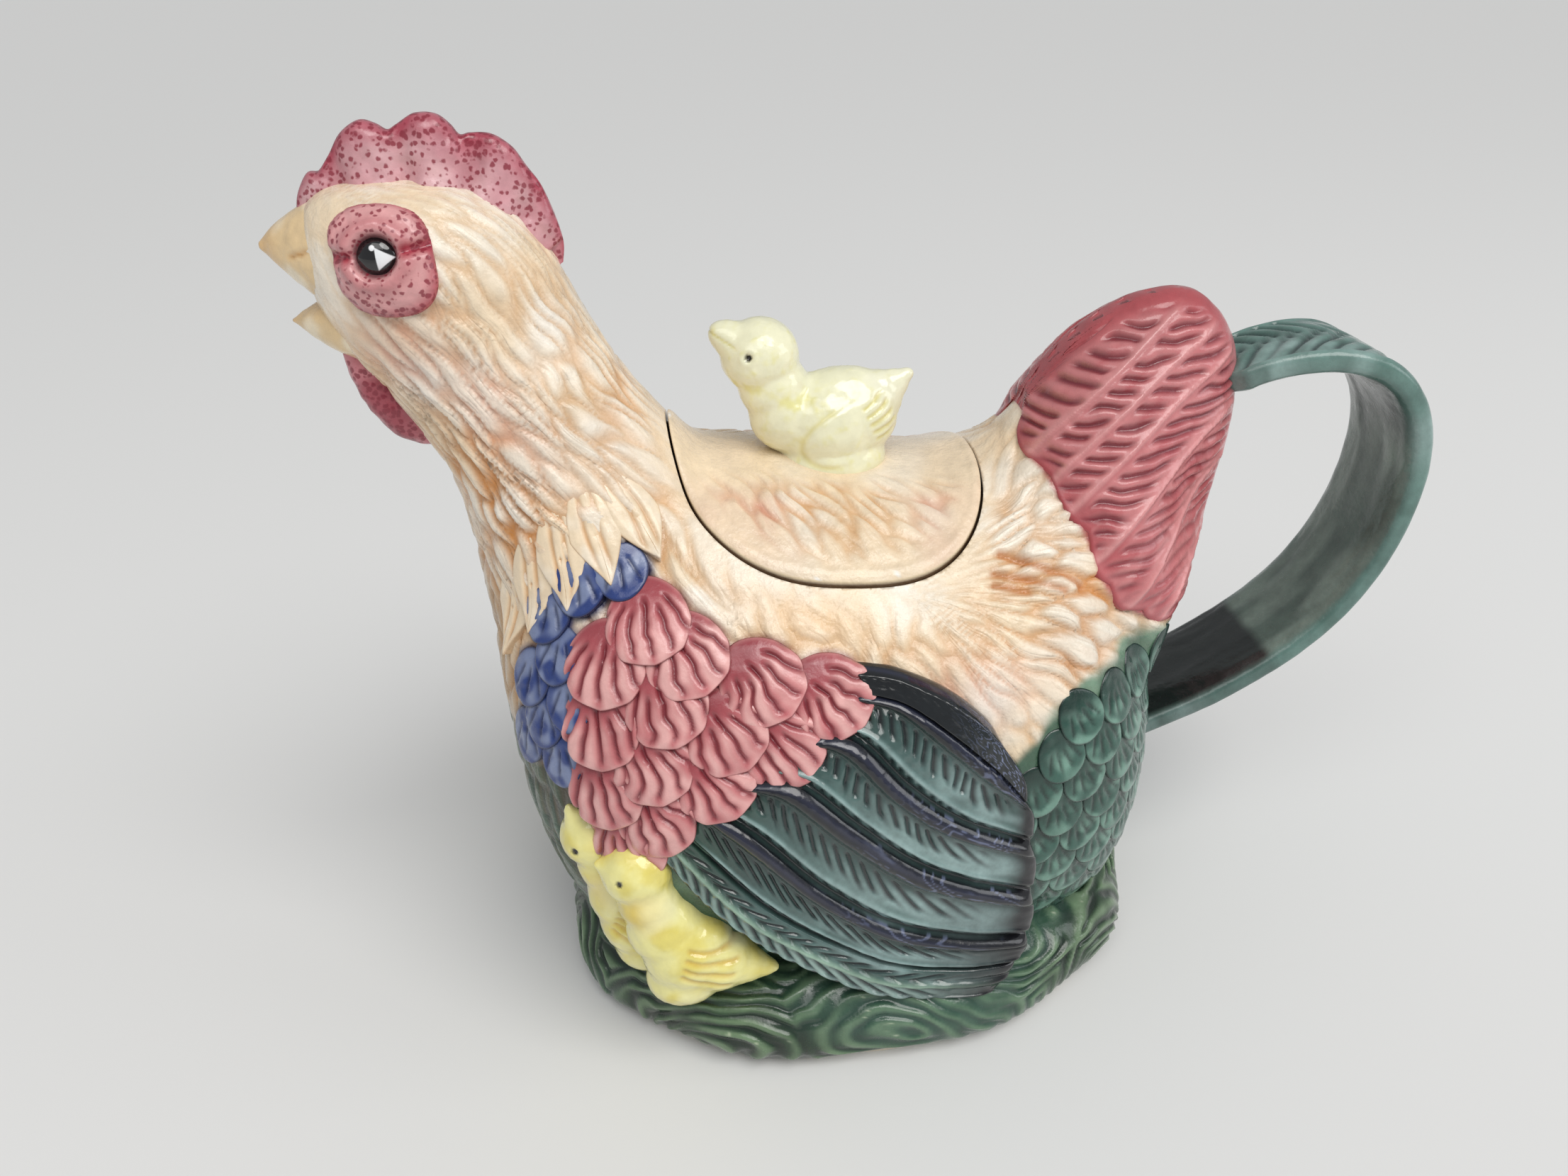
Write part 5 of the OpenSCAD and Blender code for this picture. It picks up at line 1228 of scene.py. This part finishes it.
def body():
    """The hen's skin with its relief, its paint, and the courses and colours of its fine strokes."""
    p = skin.v
    x, y, z = p.T
    ay = np.abs(y)
    s, t = neck_place(p)
    deg = np.degrees(t)
    # Hackle: long locks down the neck that drift to the rear
    a_neck, b_neck = (t - 0.85 * (0.95 - s)) * 31.0, s * 175.0
    a_warped = a_neck + 3.4 * noise2(a_neck / 17, b_neck / 19, 201) + 1.3 * noise2(a_neck / 8, b_neck / 8, 202)
    hill_neck = locks(a_warped / 4.5, (b_neck + 6 * noise2(a_neck / 9, b_neck / 20, 204)) / 20.0, 203, 1.0)
    # Strokes on the back and flank fan out from the rear end of the lid
    vx, vh = x - 14.0, (math.pi / 2 - np.arctan2(z - 77.0, ay)) * 65.0 - 44.0
    ang = np.arctan2(vh, vx)
    fan_on = (ang < RAY) & (ang > -math.pi / 2)
    a_side = np.where(fan_on, ang * 46.0, RAY * 46.0 + math.cos(RAY) * vh - math.sin(RAY) * vx)
    b_side = np.where(fan_on, np.hypot(vx, vh), math.cos(RAY) * vx + math.sin(RAY) * vh)
    a_bent = a_side + 3.0 * noise2(a_side / 15, b_side / 15, 211) + 1.2 * noise2(a_side / 7, b_side / 7, 212)
    hill_side = locks(a_bent / 5.0, (b_side + 5 * noise2(a_side / 9, b_side / 16, 214)) / 15.0, 213)
    # Over the middle of the throat and breast the locks hang straight
    hill_over = locks((y + 2.6 * noise2(y / 14, z / 19, 205)) / 4.6, (1.1 * z + 5 * noise2(y / 9, z / 20, 206)) / 19.0, 207)
    throat = np.maximum(step(38, 18, deg), step(136, 118, z) * step(-58, -70, x))
    on_neck = step(-18, -42, x - 0.30 * (z - 130)) * step(60, 85, z)
    hill = (hill_neck * (1 - throat) + hill_over * throat) * on_neck + hill_side * (1 - on_neck)
    # How deep the relief is from place to place
    lid_r = (np.abs(x / LID_L) ** 2.7 + (ay / LID_W) ** 2.7) ** (1 / 2.7)
    amp_neck = np.interp(s, [0, .12, .35, .55, .72, .82, 1], [1.2, 1.35, 1.25, 1.05, 0.75, 0.30, 0.05]) * (0.65 + 0.35 * step(175, 120, deg))
    amp_side = 1.05 * (0.55 + 0.45 * step(-0.3, 0.5, noise(p / 24, 221))) + 0.75 * step(30, 55, x) * step(95, 112, z)
    amp = (amp_neck * on_neck + amp_side * (1 - on_neck)) * unit(step(1.02, 1.25, lid_r) + (z < 110))
    amp = amp * (1 - 0.8 * step(-100, -110, x) * step(190, 200, z)) * (1 - 0.6 * step(14, 4, ay) * step(38, 46, x))
    bound = np.interp(x, [-100, -84, -66, -50, 0, 36, 47, 58, 77, 90], [98, 96, 88, 80, 80, 90, 100, 106, 107, 104])
    green = step(2.5, -2.5, z - bound + 2.5 * noise(p / 6, 222))
    breast = green * step(-48, -60, x)
    blades = locks((y + 4.0 * noise2(y / 15, z / 20, 241)) / 5.5, (z + 5 * noise2(y / 8, z / 20, 243)) / 22.0, 242)
    hill = hill * (1 - breast) + blades * breast
    amp = np.maximum(amp * (1 - 0.85 * green), 0.85 * breast * step(26, 34, z))
    place = np.c_[x, ay, z]
    scores = np.max([bell(segment_gap(place, a, b), 1.15) for line in SCORES for a, b in zip(line, line[1:])], axis=0)
    relief = 1.15 * amp * (hill - 0.75) + 0.25 * unit(amp) * noise(p / 4.5, 223) - 1.2 * scores
    # The body lies lower where the tail covers it
    inside_tail = tail_depth(p)
    rim_gap = np.min([np.linalg.norm(p[:, [0, 2]] - q, axis=1) for q in along_curve(TAIL_RIM[1:], 90)], axis=0)
    sunk = np.maximum(step(0.5, 5.0, inside_tail), step(5.0, 2.5, rim_gap) * step(-4.0, 0.0, inside_tail))
    out = p + skin.n * (relief * step(2.0, -1.0, inside_tail) * (1 - sunk) - 1.3 * sunk)[:, None]
    # Where the colours lie
    groove = unit(1 - hill) * unit(amp * 1.2)
    orange = np.max([
        0.10 + 0.35 * step(0.0, 0.9, noise(p / 26, 232)), on_neck * step(0.58, 0.36, s) * step(112, 70, deg) * 0.9,
        bell(x - 64, 15) * bell(z - 124, 10), bell(x - 58, 15) * bell(z - 110, 8) * 0.8], axis=0)
    pink = np.max([
        bell(s - 0.62, 0.10) * bell(deg - 62, 26) * on_neck, bell(s - 0.50, 0.10) * bell(deg - 85, 22) * on_neck * 0.8,
        bell(x - 24, 16) * bell(z - 109, 8)], axis=0)
    spread = 0.30 + 0.45 * step(-0.4, 0.5, noise(p / 15, 237))
    rose_zone, blue_zone = zone_near(p, SHOULDER, 10.5), zone_near(p, BREAST, 8.0)
    bare = (1 - rose_zone) * (1 - blue_zone)
    low = coats(
        len(p), (66, 98, 78), ((118, 150, 126), step(-0.2, 0.8, noise(p / 7, 235))), ((40, 64, 50), step(-60, -80, x) * 0.5),
        ((18, 34, 26), breast * (1 - hill) * 0.85))
    c = coats(
        len(p), CREAM, (CREAM_HI, step(-0.5, 0.6, noise(p / 16, 231) + 0.5 * (hill - 0.5)) * 0.85),
        (TAN, groove * spread * (1 - 0.35 * on_neck * step(0.35, 0.75, s))), ((204, 128, 44), 0.85 * groove * orange * (0.4 + spread)),
        ((188, 108, 30), scores * 0.85), ((232, 184, 124), 0.4 * bell(x + 14, 16) * bell(lid_r - 1.17, 0.09) * (ay > 20)),
        ((236, 200, 156), 0.22 * step(0.1, 0.7, noise(p / 20, 236))), (PINK, (0.22 + 0.5 * groove) * pink * 0.75),
        # Olive brown over the front of the lower neck and breast is painted shade
        ((150, 122, 84), step(-76, -90, x) * step(150, 120, z) * 0.6),
        ((248, 244, 236), 0.5 * step(0.35, 0.9, noise(p / 13, 234)) * (1 - groove)),
        ((132, 52, 60), rose_zone), ((24, 34, 84), blue_zone * (1 - rose_zone)), (low, green * bare),
        ((170, 70, 78), step(-0.6, 1.0, inside_tail)))
    neck = on_neck > 0.5
    flow = np.c_[np.where(neck, a_warped / 2.6, a_bent / 2.6 + 50), np.where(neck, b_neck / 13, b_side / 12), np.zeros(len(p))]
    strength = unit(amp * 0.85) * step(0.02, 0.12, np.abs(on_neck - 0.5)) * bare
    return out, np.c_[c, flow, coats(len(p), (212, 172, 124), ((202, 132, 58), orange * 1.2), ((208, 142, 130), pink)), strength]


def prism(outline, low, high):
    """Closed prism of an oval with its own bottom and top heights."""
    rings = [np.c_[outline * k, low(outline * k)] for k in np.linspace(0.03, 1, 24)] + [np.c_[outline, np.full(len(outline), high)]]
    verts, faces = tube(np.array(rings), ([0, 0, low(np.zeros((1, 2)))[0]], [0, 0, high]))
    return verts, outward(verts, faces)


body_v, body_looks = body()
well = prism(lid_oval(180, 1.0), lambda xy: skin_top(xy) - 3.0, 230.0)
hole = prism(lid_oval(180, -3.7), lambda xy: np.full(len(xy), 100.0), 230.0)
hollow = trunk_rings(34, 40, 5.5)
hollow[:, :, 2] = np.maximum(hollow[:, :, 2], 13.5)
cavity = remeshed(*joined([tube(hollow), tube(neck_rings(30, 34, 5.5, 0.8))]), 3.0)
mouth = remeshed(*joined([ball((-92 - 3.6 * k, 0, 203.5 + 0.42 * k), (6.5 - 0.16 * k,) * 3) for k in range(13)]), 1.0)
cut_v, cut_f = cut((body_v, skin.f), [well, hole, cavity, mouth])
# Paint of the openings: a dry joint near the surface, its dark brown also painted shade in the gaps, plain glaze deeper
# down
tree = BVHTree.FromPolygons([Vector(p) for p in body_v], skin.f)
looks = np.empty((len(cut_v), 10))
joint_shade_paint, glaze_paint = (np.r_[c, np.zeros(7)] for c in (rgb(84, 66, 48), rgb(222, 210, 186)))
for k, p in enumerate(cut_v):
    _, _, face, gap = tree.find_nearest(Vector(p))
    idx = skin.f[face]
    w = 1.0 / (((body_v[idx] - p) ** 2).sum(1) + 0.01)
    looks[k] = (body_looks[idx] * w[:, None]).sum(0) / w.sum() if gap < 0.35 else joint_shade_paint if gap < 3.4 else glaze_paint
make("body", cut_v, cut_f, looks[:, :3], FEATHERY, "cream_plumage", ["body_shell"], flow=looks[:, 3:6], deep=looks[:, 6:])

# ------------------------------------------------------------------ foot and floor
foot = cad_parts["foot"]
foot.data.materials.clear()
foot.data.materials.append(BISQUE)
layer = foot.data.color_attributes.new("paint", "FLOAT_COLOR", "POINT")
layer.data.foreach_set("color", np.tile(np.r_[rgb(226, 216, 198), 1.0], len(foot.data.vertices)))

floor_mat = bpy.data.materials.new("floor")
floor_mat.use_nodes = True
floor_shader = floor_mat.node_tree.nodes["Principled BSDF"]
floor_shader.inputs["Base Color"].default_value = (0.80, 0.80, 0.79, 1.0)
floor_shader.inputs["Roughness"].default_value = 0.9
floor = bpy.data.objects.new("floor", to_mesh("floor", [(-60, -60, 0), (60, -60, 0), (60, 60, 0), (-60, 60, 0)], [[0, 1, 2, 3]]))
floor.data.materials.append(floor_mat)
scene.collection.objects.link(floor)
